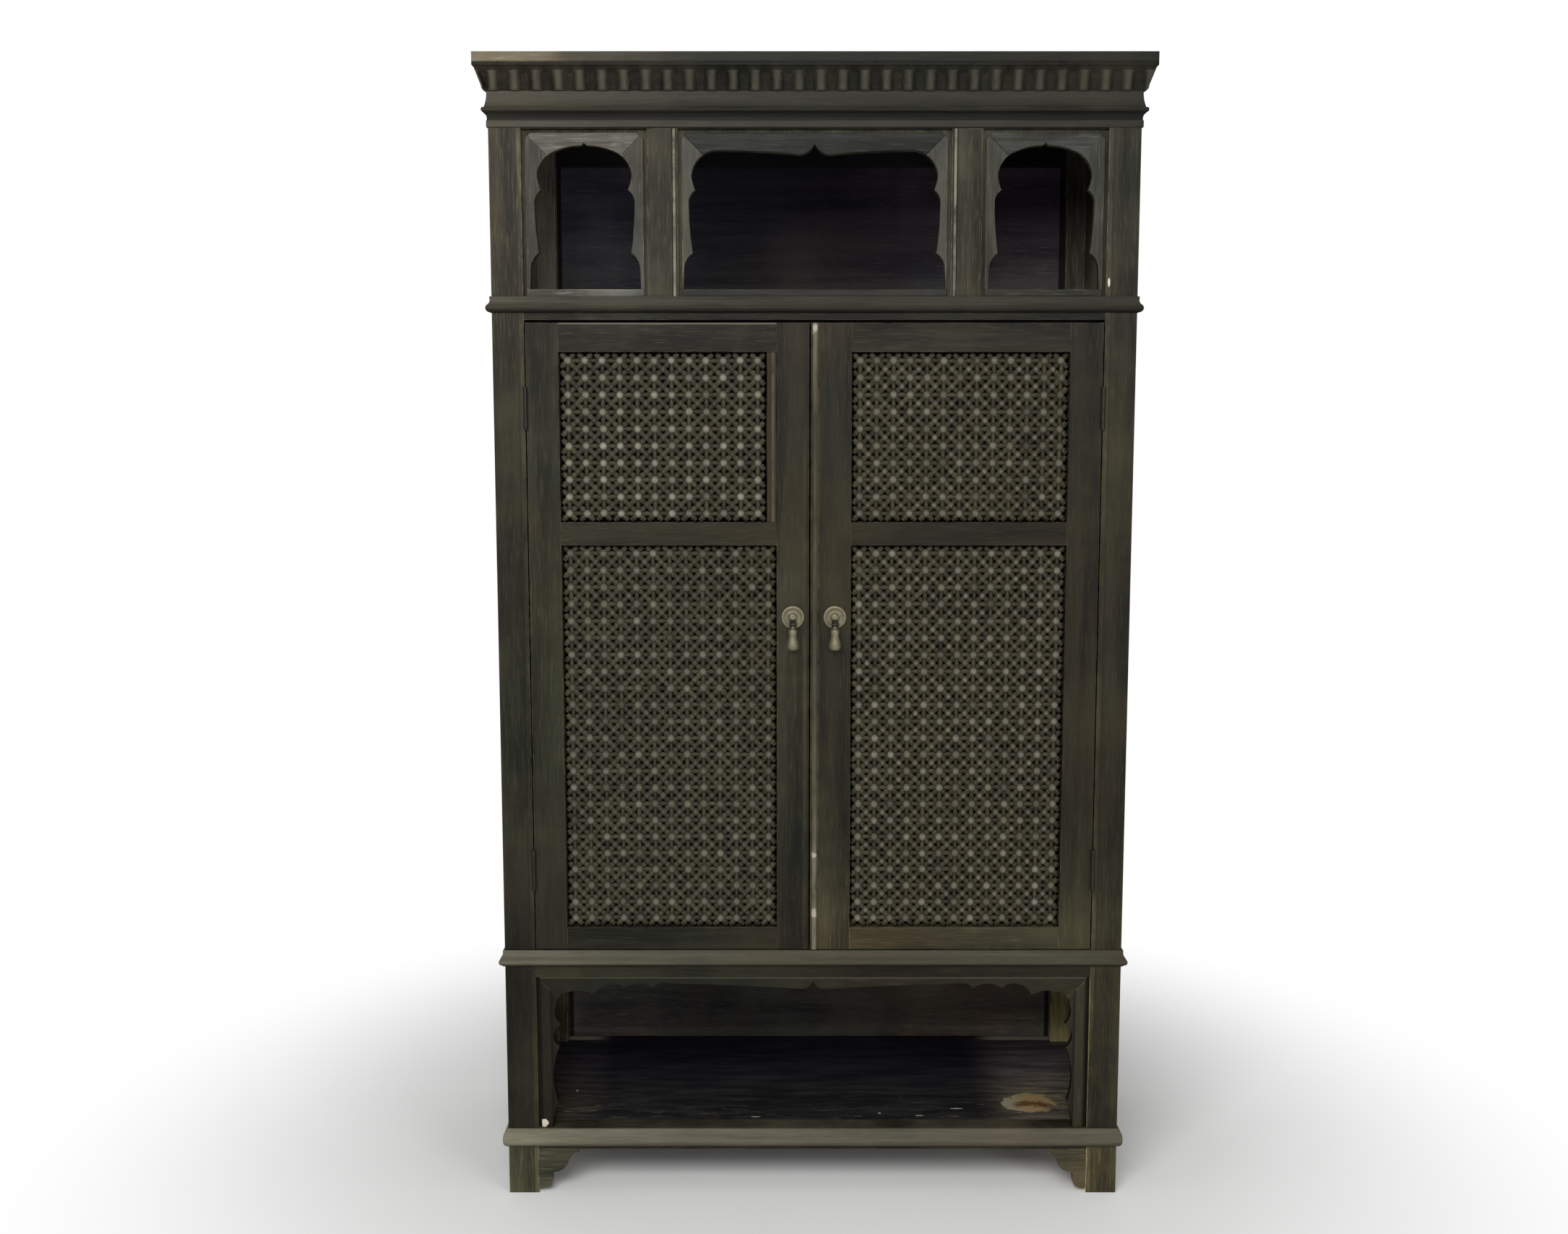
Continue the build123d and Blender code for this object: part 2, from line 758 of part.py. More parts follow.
def make_arches():
    """Three niche arches and the scalloped frame of the lower compartment."""
    side_half = side_arch_panel_width / 2
    centre_half = x_post - side_arch_panel_width - mullion_width
    side_x = x_post - side_half
    clear_height = niche_height - arch_sill_height
    side_opening = with_mirror(side_arch_half(side_half, clear_height))
    centre_opening = with_mirror(centre_arch_half(centre_half, clear_height))
    for name, x, half, opening in (
        ("left", -side_x, side_half, side_opening),
        ("centre", 0, centre_half, centre_opening),
        ("right", side_x, side_half, side_opening),
    ):
        write(f"niche_arch_{name}", *scalloped_frame(
            x, z_niche, half, niche_height, Pos(0, arch_sill_height) * opening,
            arch_mitre_reach, arch_sill_height, arch_channel_width, arch_corner_clip,
        ))

    opening = with_mirror(apron_half(x_post, compartment_height))
    write("lower_arch", *scalloped_frame(
        0, z_floor, x_post, compartment_height, opening, apron_mitre_reach, 0, 0, 0
    ))


# ---------------------------------------------------------------- bracket feet

def bracket_outline():
    """Bracket drawn with x away from the post and y up from the floor, in shares of its size."""
    high = foot_height
    out = bracket_width
    return closed_face((0, bracket_tip_height), [
        (0.27 * out, 0.14 * high),
        ((0.33 * out, 0.275 * high), (0.315 * out, 0.41 * high)),
        (0.385 * out, 0.46 * high),
        ((0.63 * out, 0.55 * high), (0.745 * out, 0.775 * high)),
        (0.815 * out, 0.825 * high),
        ((0.885 * out, 0.9 * high), (out, 0.925 * high)),
        (out, high), (0, high),
    ])


def make_brackets():
    """A bracket beside each foot, under the base rails."""
    outline = bracket_outline()
    thick = bracket_thickness
    for side, sign in sides.items():
        drawing = outline if sign < 0 else mirror(outline, about=Plane.YZ)
        write(f"foot_bracket_front_{side}", upright(drawing, sign * x_post, y_front, 0, thick))
        outer = sign * half_width
        start = outer if sign < 0 else outer - thick
        ahead = Plane(origin=(start, y_front_post, 0), x_dir=(0, 1, 0), z_dir=(1, 0, 0))
        behind = Plane(origin=(start, y_back_post, 0), x_dir=(0, 1, 0), z_dir=(1, 0, 0))
        write(
            f"foot_brackets_{side}",
            extrude(ahead * outline, amount=thick),
            extrude(behind * mirror(outline, about=Plane.YZ), amount=thick),
        )


# ---------------------------------------------------------------- doors

def lattice(width, height, x, z):
    """Two layers of slanting bars that cross at every ball of the turned lattice.

    The cells are counted so that whole ones fill the sight size; the bars run on into the
    groove of the frame by lattice_seat.
    """
    columns = max(1, round(width / lattice_pitch))
    rows = max(1, round(height / lattice_pitch))
    cell_x = width / columns
    cell_z = height / rows
    slant = degrees(atan2(cell_z, cell_x))
    length = hypot(cell_x, cell_z) * (columns + rows)
    window = Pos(width / 2, height / 2) * Rectangle(
        width + 2 * lattice_seat, height + 2 * lattice_seat
    )
    layers = []
    for lean, y in ((1, y_front + lattice_recess),
                    (-1, y_front + lattice_recess + lattice_bar_thickness)):
        bars = Sketch()
        first = 1 - rows if lean > 0 else 1
        for step in range(first, first + columns + rows - 1):
            bar = Pos(step * cell_x, 0) * Rot(0, 0, lean * slant) * Rectangle(
                2 * length, lattice_bar_width
            )
            bars += bar & window
        layers.append(upright(bars, x, y, z, lattice_bar_thickness))
    return layers


def hinge_leaf_cutters(part):
    """Shallow recesses for the hinge leaves, in the posts (frame) or in the doors (door)."""
    cutters = []
    sunk = hinge_leaf_thickness - (door_hinge_gap - hinge_leaf_gap) / 2
    far = y_front + hinge_leaf_depth
    for sign in sides.values():
        for level in hinge_levels:
            low, high = level - hinge_height / 2, level + hinge_height / 2
            if part == "frame":
                near_x, far_x = sign * x_post, sign * (x_post + sunk)
            else:
                near_x, far_x = sign * door_hinge_edge, sign * (door_hinge_edge - sunk)
            cutters.append(block(near_x, far_x, y_front, far, low, high))
    return cutters


def make_door(side, sign):
    """Two stiles, three rails and two lattice panels."""
    edge, free = sign * door_hinge_edge, sign * door_free_edge
    hinge_inner = sign * (door_hinge_edge - stile_width)
    free_inner = sign * (door_free_edge + stile_width)
    y_door_back = y_front + door_thickness
    groove_front = y_front + lattice_recess
    groove_back = groove_front + 2 * lattice_bar_thickness
    left, right = min(hinge_inner, free_inner), max(hinge_inner, free_inner)
    sights = [(z_lower_lattice, z_lower_lattice_top), (z_upper_lattice, z_upper_lattice_top)]
    cut = lattice_seat + groove_gap
    grooves = [
        block(left - cut, right + cut, groove_front - panel_gap, groove_back + panel_gap,
              low - cut, high + cut)
        for low, high in sights
    ]

    rails = []
    mortises = []
    levels = [
        (z_door, z_lower_lattice),
        (z_lower_lattice_top, z_upper_lattice),
        (z_upper_lattice_top, z_door_top),
    ]
    for low, high in levels:
        rail, mortise = rail_along_x(left, right, y_front, y_door_back, low, high)
        rails.append(cut_all(rail, grooves))
        mortises.append(mortise)
    write(f"{side}_door_rails", *rails)

    cutters = mortises + grooves + hinge_leaf_cutters("door")
    stile = block(edge, hinge_inner, y_front, y_door_back, z_door, z_door_top)
    write(f"{side}_door_hinge_stile", cut_all(stile, cutters))
    stile = block(free, free_inner, y_front, y_door_back, z_door, z_door_top)
    write(f"{side}_door_meeting_stile", cut_all(stile, cutters))

    for name, (low, high) in zip(["lower", "upper"], sights):
        write(f"{side}_door_lattice_{name}", *lattice(right - left, high - low, left, low))


def make_meeting_bead():
    """Strip with a round nose, on the meeting edge of the right door."""
    right = door_free_edge
    left = right - meeting_bead_width
    edge = y_front - meeting_bead_edge
    section = closed_face((left, y_front + door_thickness), [
        (left, edge), (((left + right) / 2, y_front - meeting_bead_nose), (right, edge)),
        (right, y_front + door_thickness),
    ])
    bead = extrude(Pos(0, 0, z_door) * section, amount=z_door_top - z_door)
    write("right_door_meeting_bead", bead)


# ---------------------------------------------------------------- hinges

def make_hinges():
    """Lift-off hinges: the lower knuckle and its pin stay on the post, the upper turns on it."""
    frame_leaves = []
    back = y_front + hinge_leaf_depth
    for side, sign in sides.items():
        axis_x = sign * hinge_axis_x
        door_leaves = []
        for level in hinge_levels:
            low, high = level - hinge_height / 2, level + hinge_height / 2

            def leaf(way, bottom, top):
                """Leaf on one side of the gap, with its knuckle between bottom and top."""
                near = axis_x + way * hinge_leaf_gap / 2
                far = near + way * hinge_leaf_thickness
                barrel = Pos(axis_x, hinge_axis_y, bottom) * extrude(
                    RegularPolygon(hinge_barrel_radius, hinge_barrel_flats), amount=top - bottom
                )
                tab = block(near, far, hinge_axis_y, y_front, bottom, top)
                return block(near, far, y_front, back, low, high) + tab + barrel

            frame_leaf = leaf(sign, low, level - hinge_knuckle_gap / 2)
            frame_leaves.append(frame_leaf + Pos(axis_x, hinge_axis_y, (low + high) / 2) * Cylinder(
                hinge_pin_radius, hinge_height
            ))
            bore = Pos(axis_x, hinge_axis_y, level) * Cylinder(
                hinge_pin_radius + hinge_running_fit, 2 * hinge_height
            )
            door_leaves.append(leaf(-sign, level + hinge_knuckle_gap / 2, high) - bore)
        write(f"{side}_hinge_door_leaves", *door_leaves)
    write("hinge_frame_leaves", *frame_leaves)


# ---------------------------------------------------------------- pulls

def round_plate():
    """Round plate, drawn lying on its back: a dished face inside a raised rim, with a boss."""
    def disc(radius, start, height):
        outline = RegularPolygon(radius, plate_flats)
        return Pos(0, 0, start) * extrude(outline, amount=height)

    dish = disc(plate_radius - plate_rim_width, plate_dish, plate_rim)
    return disc(plate_radius, 0, plate_rim) - dish + disc(boss_radius, 0, boss_height)


def drop_body():
    """Hanging drop below its pivot at the origin: neck, small head, and a long bell.

    It is cut with narrow flats all round, so it is closed by flat faces between its levels.
    """
    levels = [
        (0.8 * drop_neck_radius, eye_radius - eye_overlap),
        (drop_neck_radius, drop_neck_length),
        (drop_head_radius, drop_head_length),
        (drop_head_radius, 0.32 * drop_length),
        (0.84 * drop_radius, 0.66 * drop_length),
        (drop_radius, 0.86 * drop_length),
        (0.7 * drop_radius, drop_length),
    ]
    turns = [2 * pi * step / drop_flats for step in range(drop_flats)]
    rings = [
        [(radius * cos(turn), radius * sin(turn), -depth) for turn in turns]
        for radius, depth in levels
    ]
    faces = [make_face(Polyline(*ring, close=True)) for ring in (rings[0], rings[-1])]
    for ring, below in zip(rings, rings[1:]):
        for step in range(drop_flats):
            faces.append(make_face(Polyline(
                ring[step - 1], ring[step], below[step], below[step - 1], close=True
            )))
    return Solid(Shell([face for drawn in faces for face in drawn.faces()]))


def make_pulls():
    """Round plate with two lugs and a pin across them, and the drop that swings on the pin."""
    inner = eye_width / 2 + lug_gap
    outer = inner + lug_thickness
    for side, sign in sides.items():
        x = sign * (door_free_edge + stile_width / 2)
        pivot_y = y_front - pivot_standoff
        pivot_z = pull_height - pivot_drop
        pin_line = Pos(x, pivot_y, pivot_z) * Rot(0, 90, 0)

        ahead = Plane(origin=(x, y_front, pull_height), x_dir=(1, 0, 0), z_dir=(0, -1, 0))
        plate = ahead * round_plate()
        for way in (-1, 1):
            plate += block(
                x + way * inner, x + way * outer,
                y_front - plate_dish / 2, pivot_y - lug_radius,
                pivot_z - lug_radius, pivot_z + lug_radius,
            )
        write(f"{side}_pull_plate", plate + pin_line * Cylinder(pull_pin_radius, 2 * outer))

        drop = Pos(x, pivot_y, pivot_z) * drop_body()
        drop += pin_line * Cylinder(eye_radius, eye_width)
        drop -= pin_line * Cylinder(pull_pin_radius + pull_running_fit, 3 * outer)
        write(f"{side}_pull_drop", drop)


make_carcass()
make_shelves()
make_mouldings()
make_arches()
make_brackets()
for door_side, door_sign in sides.items():
    make_door(door_side, door_sign)
make_meeting_bead()
make_hinges()
make_pulls()
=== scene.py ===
import math
import random

import bmesh
import bpy
import numpy as np
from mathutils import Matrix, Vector, noise


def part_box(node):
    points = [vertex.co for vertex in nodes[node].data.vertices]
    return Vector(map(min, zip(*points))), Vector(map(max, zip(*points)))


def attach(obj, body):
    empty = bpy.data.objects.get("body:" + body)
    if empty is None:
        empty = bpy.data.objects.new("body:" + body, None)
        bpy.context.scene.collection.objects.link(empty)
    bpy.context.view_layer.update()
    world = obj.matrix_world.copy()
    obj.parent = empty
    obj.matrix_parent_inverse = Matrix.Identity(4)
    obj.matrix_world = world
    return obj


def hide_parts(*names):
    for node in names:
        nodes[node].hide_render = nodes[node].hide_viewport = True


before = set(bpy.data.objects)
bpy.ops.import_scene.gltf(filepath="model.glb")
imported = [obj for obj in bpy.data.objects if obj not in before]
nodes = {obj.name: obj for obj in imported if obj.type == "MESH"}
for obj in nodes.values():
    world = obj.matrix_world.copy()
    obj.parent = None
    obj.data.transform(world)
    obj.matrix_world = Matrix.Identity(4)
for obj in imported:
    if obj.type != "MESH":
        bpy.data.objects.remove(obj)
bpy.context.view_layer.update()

# lengths with a name in capitals are in mm where they are multiplied by MM, and in m elsewhere
MM = 0.001
SIDES = {"left": -1, "right": 1}


# ---------------------------------------------------------------- places, read from the frame

def low(node):
    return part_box(node)[0]


def high(node):
    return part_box(node)[1]


half_body = high("post_front_right").x
x_post = low("post_front_right").x
y_front = low("post_front_right").y
y_back = high("post_back_right").y
y_post_end = high("post_front_right").y
y_post_back = low("post_back_right").y
z_top = low("top_slab").z
cabinet_height = high("top_slab").z


def in_scene(name, data):
    obj = bpy.data.objects.new(name, data)
    bpy.context.scene.collection.objects.link(obj)
    return obj


# ---------------------------------------------------------------- material building

class Signal:
    """An output in a material's graph. Sums, products and the like of signals add their nodes."""

    def __init__(self, graph, socket):
        self.graph = graph
        self.socket = socket

    def join(self, operation, other=0.0):
        wide = self.socket.type in ("VECTOR", "RGBA")
        kind = "ShaderNodeVectorMath" if wide else "ShaderNodeMath"
        return self.graph.read(kind, 0, {0: self, 1: other}, operation=operation)

    def __add__(self, other):
        return self.join("ADD", other)

    def __sub__(self, other):
        return self.join("SUBTRACT", other)

    def __mul__(self, other):
        return self.join("MULTIPLY", other)

    def __truediv__(self, other):
        return self.join("DIVIDE", other)

    def __abs__(self):
        return self.join("ABSOLUTE")

    def larger(self, other):
        return self.join("MAXIMUM", other)

    def limited(self):
        """The same sum or product, held between 0 and 1."""
        self.socket.node.use_clamp = True
        return self


class Graph:
    """The nodes of a material or a world."""

    def __init__(self, owner):
        owner.use_nodes = True
        self.owner = owner
        self.tree = owner.node_tree
        self.tree.nodes.clear()

    def add(self, kind, inputs=None, **settings):
        node = self.tree.nodes.new(kind)
        for key, value in settings.items():
            setattr(node, key, value)
        for key, value in (inputs or {}).items():
            socket = node.inputs[key]
            if isinstance(value, Signal):
                self.tree.links.new(value.socket, socket)
            elif socket.type == "RGBA":
                socket.default_value = (*value, 1.0)
            else:
                socket.default_value = value
        return node

    def read(self, kind, output, inputs=None, **settings):
        return Signal(self, self.add(kind, inputs, **settings).outputs[output])

    def split(self, vector):
        node = self.add("ShaderNodeSeparateXYZ", {0: vector})
        return [Signal(self, output) for output in node.outputs]

    def step(self, value, start, end):
        """0 below start, 1 above end (or the other way round if start is the larger)."""
        return self.read("ShaderNodeMapRange", 0, {
            "Value": value, "From Min": start, "From Max": end,
        }, interpolation_type="SMOOTHSTEP")

    def between(self, value, start, end, soft=0.0015):
        """1 between start and end, 0 outside, with soft ends."""
        return self.step(value, start - soft, start + soft) * self.step(value, end + soft, end - soft)

    def mix(self, factor, a, b):
        return self.read("ShaderNodeMix", 2, {0: factor, 6: a, 7: b}, data_type="RGBA")


class Surface(Graph):
    """A material's nodes, made with the surface's own coordinates, in metres."""

    def __init__(self, name):
        super().__init__(bpy.data.materials.new(name))
        self.place = self.read("ShaderNodeTexCoord", "Object")
        self.normal = self.read("ShaderNodeNewGeometry", "Normal")
        self.x, self.y, self.z = self.split(self.place)
        self.facing = self.split(self.normal)
        self.level = self.z / cabinet_height
        self.across = self.x / (2 * half_body) + 0.5

    def attribute(self, name):
        return self.read("ShaderNodeAttribute", "Fac", attribute_name=name)

    def noise(self, place, scale, detail=2.0, roughness=0.5, distortion=0.0):
        return self.read("ShaderNodeTexNoise", "Fac", {
            "Vector": place, "Scale": scale, "Detail": detail,
            "Roughness": roughness, "Distortion": distortion,
        })

    def lookup(self, value, stops):
        """Value (0 to 1) looked up between stops, each a place and a factor from 0 to 4."""
        node = self.add("ShaderNodeValToRGB", {"Fac": value})
        band = node.color_ramp.elements
        band[0].position, band[1].position = stops[0][0], stops[-1][0]
        for place, _ in stops[1:-1]:
            band.new(place)
        for stop, (_, factor) in zip(band, stops):
            stop.color = (factor / 4, factor / 4, factor / 4, 1.0)
        return Signal(self, node.outputs["Color"]) * (4.0, 4.0, 4.0)

    def spots(self, u, v, places):
        """Ragged patches on a plane: places are (middle u, middle v, half width, half height)."""
        ragged = (self.noise(self.place, 150.0, 3.0, 0.7) - 0.5) * 2.2
        found = 0.0
        for mid_u, mid_v, half_u, half_v in places:
            du, dv = (u - mid_u) / half_u, (v - mid_v) / half_v
            found = self.step(du * du + dv * dv + ragged, 1.0, 0.7).larger(found)
        return found

    def rounded(self, radius):
        """The normal as if edges were rounded off, and how far it has turned: 1 is not at all."""
        soft = self.read("ShaderNodeBevel", 0, {"Radius": radius}, samples=6)
        return soft, self.read("ShaderNodeVectorMath", "Value", {0: soft, 1: self.normal},
                               operation="DOT_PRODUCT")

    def finish(self, colour, roughness, bump, metallic=0.0, specular=0.5):
        """bump is the height, its strength, its scale in metres and the normal under it."""
        height, strength, distance, under = bump
        normal = self.read("ShaderNodeBump", 0, {
            "Strength": strength, "Distance": distance, "Height": height, "Normal": under,
        })
        shader = self.read("ShaderNodeBsdfPrincipled", 0, {
            "Base Color": colour, "Roughness": roughness, "Normal": normal,
            "Metallic": metallic, "Specular IOR Level": specular,
        })
        self.add("ShaderNodeOutputMaterial", {"Surface": shader})
        return self.owner


def srgb(r, g, b):
    """A colour given as 0 to 255 in sRGB, as linear light."""
    return tuple(((c / 255 + 0.055) / 1.055) ** 2.4 if c > 10 else c / 255 / 12.92 for c in (r, g, b))


def grey(level):
    return (level, level, level)


def darker(colour, share):
    return tuple(share * c for c in colour)


# how the figure is drawn out along each grain
STRETCH = {"x": (0.06, 1.0, 1.0), "y": (1.0, 0.06, 1.0), "z": (1.0, 1.0, 0.06)}
# how far apart loose parts of a mesh look into the figure, and the one place of all others
FIGURE_SPREAD = (11.3, 7.7, 5.9)
ONE_FIGURE = 0.37
DUST = srgb(106, 101, 86)
BARE = srgb(196, 188, 168)
# the finish drifts between two hues, and is cooler at the left and at the top
DRIFT_HUES = ((1.08, 0.98, 0.86), (0.95, 1.03, 0.97))
SIDE_HUES = ((0.99, 1.01, 0.97), (1.08, 0.99, 0.84))
TOP_HUE = (1.0, 0.98, 1.08)
# faces inside the cabinet are painted darker, as shade
INNER_SHADE = (0.45, 0.43, 0.5)
# except where the open compartments show them, where they are painted lighter as light falling in: at
# the left and right below, and in the niche
LOW_INNER_LIGHT = ((7.2, 7.0, 7.2), (13.0, 12.8, 12.2))
NICHE_INNER_LIGHT = (3.9, 3.9, 4.8)
# from and to which height the cupboard shuts its inside off
SHUT = (0.42, 1.5)


def wood(name, grain, palette, edge=0.0022, wear=0.8, dust=0.35, rough=0.5, bump=0.35,
         hollow_shade=False, polish=None, specular=0.14, shading_by_height=None, lean=None, inner=False, extra=None,
         apart=False):
    """Ebonised, waxed and much handled wood. grain is the axis that its fibres follow.

    palette holds the colours of its pores, body, fibres and rubbed edges. polish, if
    given, is (colour, amount) for rubbed wear and painted highlight, placed by the attribute
    "polish", and hollow_shade reads the attribute "dirt", painted shade in
    hollows and under overhangs. shading_by_height gives painted light and shade at shares of the
    cabinet's height, and lean at shares of its width. inner paints shade on the faces that look into
    the cabinet, and light where the open compartments show them. apart gives every loose part of a
    mesh its own figure.
    """
    dark, mid, pale, worn = (srgb(*colour) for colour in palette)
    g = Surface(name)
    island = g.read("ShaderNodeNewGeometry", "Random Per Island") if apart else ONE_FIGURE
    own = g.own = g.place + g.read("ShaderNodeCombineXYZ", 0, {
        axis: island * spread for axis, spread in enumerate(FIGURE_SPREAD)
    })
    drawn = own * STRETCH[grain]
    fibre = g.noise(drawn, 330.0, 3.0, 0.65)
    pores = g.noise(drawn, 900.0, 2.0, 0.6)
    cloud = g.noise(own, 5.0, 4.0, 0.62)
    speck = g.noise(own, 160.0, 3.0, 0.7)

    colour = g.mix(g.step(g.noise(drawn, 26.0, 5.0, 0.6, 0.35), 0.36, 0.64), dark, mid)
    colour = g.mix(g.step(fibre, 0.5, 0.72) * 0.42, colour, pale)
    colour = g.mix(g.step(pores, 0.6, 0.74) * 0.6, colour, darker(dark, 0.4))
    colour = g.mix(g.step(cloud, 0.44, 0.72) * 0.36, colour, pale)
    colour = g.mix(g.step(cloud, 0.46, 0.28) * 0.4, colour, dark)
    drift = g.step(g.noise(own, 3.1, 3.0, 0.6), 0.38, 0.62)
    aside = g.mix(g.step(g.x, -0.25, 0.25), *SIDE_HUES)
    colour = colour * g.mix(drift, *DRIFT_HUES)
    colour = colour * g.mix(g.step(g.level, 0.7, 0.82), aside, TOP_HUE)

    soft, flat = g.rounded(edge)
    rubbed = g.step(flat, 0.985, 0.8) * g.step(g.noise(own, 38.0, 4.0, 0.7), 0.38, 0.6)
    colour = g.mix((rubbed * wear).limited(), colour, worn)
    # rubbed wear and painted highlight
    if polish:
        polished, amount = polish
        uneven = g.step(g.noise(drawn, 55.0, 3.0, 0.6), 0.3, 0.7) * 0.45 + 0.55
        share = g.attribute("polish") * uneven
        colour = g.mix((share * amount).limited(), colour, polished)
    # painted shade in hollows and under overhangs
    if hollow_shade:
        colour = g.mix((g.attribute("dirt") * 0.9).limited(), colour, darker(dark, 0.3))
    # painted light and shade along the height and across the width
    if shading_by_height:
        colour = colour * g.lookup(g.level, shading_by_height)
    if lean:
        colour = colour * g.lookup(g.across, lean)
    # painted shade on faces that look into the cabinet, and painted light where the open compartments
    # show them
    if inner:
        inward = g.step(g.x * g.facing[0], -0.05, -0.2).larger(g.step(g.y * g.facing[1], -0.03, -0.1))
        below = g.mix(g.step(g.x, -0.2, 0.2), *LOW_INNER_LIGHT)
        lit = g.mix(g.step(g.z, 0.4, 1.5), below, NICHE_INNER_LIGHT)
        factor = g.mix(g.between(g.z, *SHUT, soft=0.01), lit, INNER_SHADE)
        colour = g.mix(inward, colour, colour * factor)

    settled = g.step(g.facing[2], 0.25, 0.95) * g.step(cloud, 0.25, 0.7)
    settled = (settled * (speck * 0.6 + 0.55) * dust).limited()
    colour = g.mix(settled, colour, DUST)
    if extra:
        colour = extra(g, colour)
    dull = (cloud * 0.2 + (rough - 0.1) + pores * 0.12 + settled * 0.3).limited()
    height = fibre * 0.5 + pores * 0.35 + g.noise(own, 45.0, 3.0, 0.55) * 0.9
    return g.finish(colour, dull, (height, bump, 0.0009, soft), specular=specular)


def metal(name, dark, mid, bright, rough=0.42, metallic=0.75):
    """Old cast brass: dull in its hollows, rubbed bright where hands and the drop touch it."""
    g = Surface(name)
    cloud = g.noise(g.place, 170.0, 4.0, 0.65)
    grit = g.noise(g.place, 900.0, 3.0, 0.6)
    soft, flat = g.rounded(0.0008)
    shine = (g.step(flat, 0.99, 0.85) * 0.6).larger(g.attribute("polish"))
    shine = (shine * g.step(grit, 0.2, 0.55)).limited()
    colour = g.mix(g.step(cloud, 0.35, 0.62), srgb(*dark), srgb(*mid))
    colour = g.mix(shine, colour, srgb(*bright))
    dull = (grit * 0.2 + rough - shine * 0.14).limited()
    return g.finish(colour, dull, (cloud + grit * 0.4, 0.35, 0.0004, soft), metallic=metallic)


# ---------------------------------------------------------------- colours and fading

# near black in the pores, olive brown where the stain is thin: pores, body, fibres, rubbed edges
DARK = srgb(19, 18, 12)
FINISH = ((19, 18, 12), (40, 38, 28), (67, 64, 50), (98, 91, 72))
# INSIDE, BACK and DEEP are darker than FINISH as painted shade inside the cabinet
INSIDE = ((18, 17, 19), (30, 28, 30), (47, 45, 46), (60, 56, 50))
BACK = ((19, 18, 21), (30, 29, 29), (48, 46, 44), (60, 56, 50))
DEEP = ((11, 10, 11), (19, 17, 18), (32, 29, 27), (52, 47, 40))
SLAB = ((40, 38, 30), (51, 49, 39), (80, 78, 66), (98, 91, 72))
MOULDED = ((36, 34, 26), (56, 53, 42), (84, 80, 66), (98, 91, 72))
ARCH_SIDES = ((44, 43, 36), (66, 65, 56), (96, 94, 83), (134, 130, 118))
ARCH_HEAD = ((44, 43, 36), (82, 81, 75), (114, 113, 104), (122, 117, 100))
JAMB = ((19, 18, 12), (21, 20, 16), (36, 34, 27), (98, 91, 72))
APRON = ((19, 18, 12), (29, 28, 22), (48, 46, 36), (98, 91, 72))
# FOOT is lighter than FINISH as a painted reflection of the pale floor
FOOT = ((44, 43, 36), (74, 70, 57), (108, 101, 84), (122, 117, 100))
TURNED = ((22, 21, 14), (44, 42, 31), (72, 69, 54), (98, 91, 72))
LATH = ((30, 27, 20), (47, 42, 33), (66, 60, 48), (84, 76, 60))
BEAD = ((19, 18, 12), (52, 48, 36), (78, 73, 56), (98, 91, 72))

# painted light and shade at shares of the height, from the foot to the top; bead_rub alone is how far
# the meeting bead is worn
left_shading = [(0.0, 2.8), (0.04, 2.5), (0.062, 0.65), (0.2, 0.5), (0.27, 0.52), (0.33, 0.8),
             (0.42, 0.92), (0.5, 0.85), (0.62, 0.85), (0.76, 1.1), (0.79, 1.95), (1.0, 2.2)]
right_shading = [(0.0, 3.0), (0.04, 2.7), (0.062, 1.0), (0.2, 1.1), (0.26, 1.1), (0.3, 0.8),
              (0.45, 0.7), (0.6, 0.88), (0.76, 0.95), (0.79, 1.25), (1.0, 1.35)]
left_door_shading = [(0.0, 0.66), (0.25, 0.66), (0.31, 0.65), (0.4, 1.05), (0.5, 1.25), (0.62, 0.95),
                  (0.74, 0.86), (0.76, 1.02), (1.0, 1.02)]
right_door_shading = [(0.0, 1.8), (0.25, 1.8), (0.3, 1.15), (0.4, 0.95), (0.5, 0.88), (0.74, 0.88),
                   (0.76, 1.12), (1.0, 1.12)]
rail_shading = [(0.0, 1.0), (0.1, 1.0), (0.15, 0.62), (0.25, 0.62), (0.3, 0.8), (0.82, 0.72),
             (0.9, 0.5), (1.0, 0.5)]
moulding_shading = [(0.0, 1.0), (0.07, 1.0), (0.12, 0.66), (0.3, 0.66), (0.6, 0.36), (0.82, 0.36),
                 (0.93, 0.4), (1.0, 0.4)]
back_shading = [(0.0, 4.2), (0.2, 4.2), (0.25, 2.4), (0.8, 2.8), (0.86, 2.3), (0.9, 2.7), (1.0, 3.6)]
mullion_shading = [(0.0, 1.0), (0.8, 1.7), (1.0, 1.7)]
channel_shading = [(0.0, 0.35), (0.25, 0.35), (0.75, 1.9), (1.0, 1.9)]
bead_rub = [(0.0, 1.0), (0.22, 1.0), (0.32, 0.85), (0.36, 0.45), (0.5, 0.2), (0.7, 0.15),
            (0.735, 0.5), (0.77, 0.8), (1.0, 0.8)]
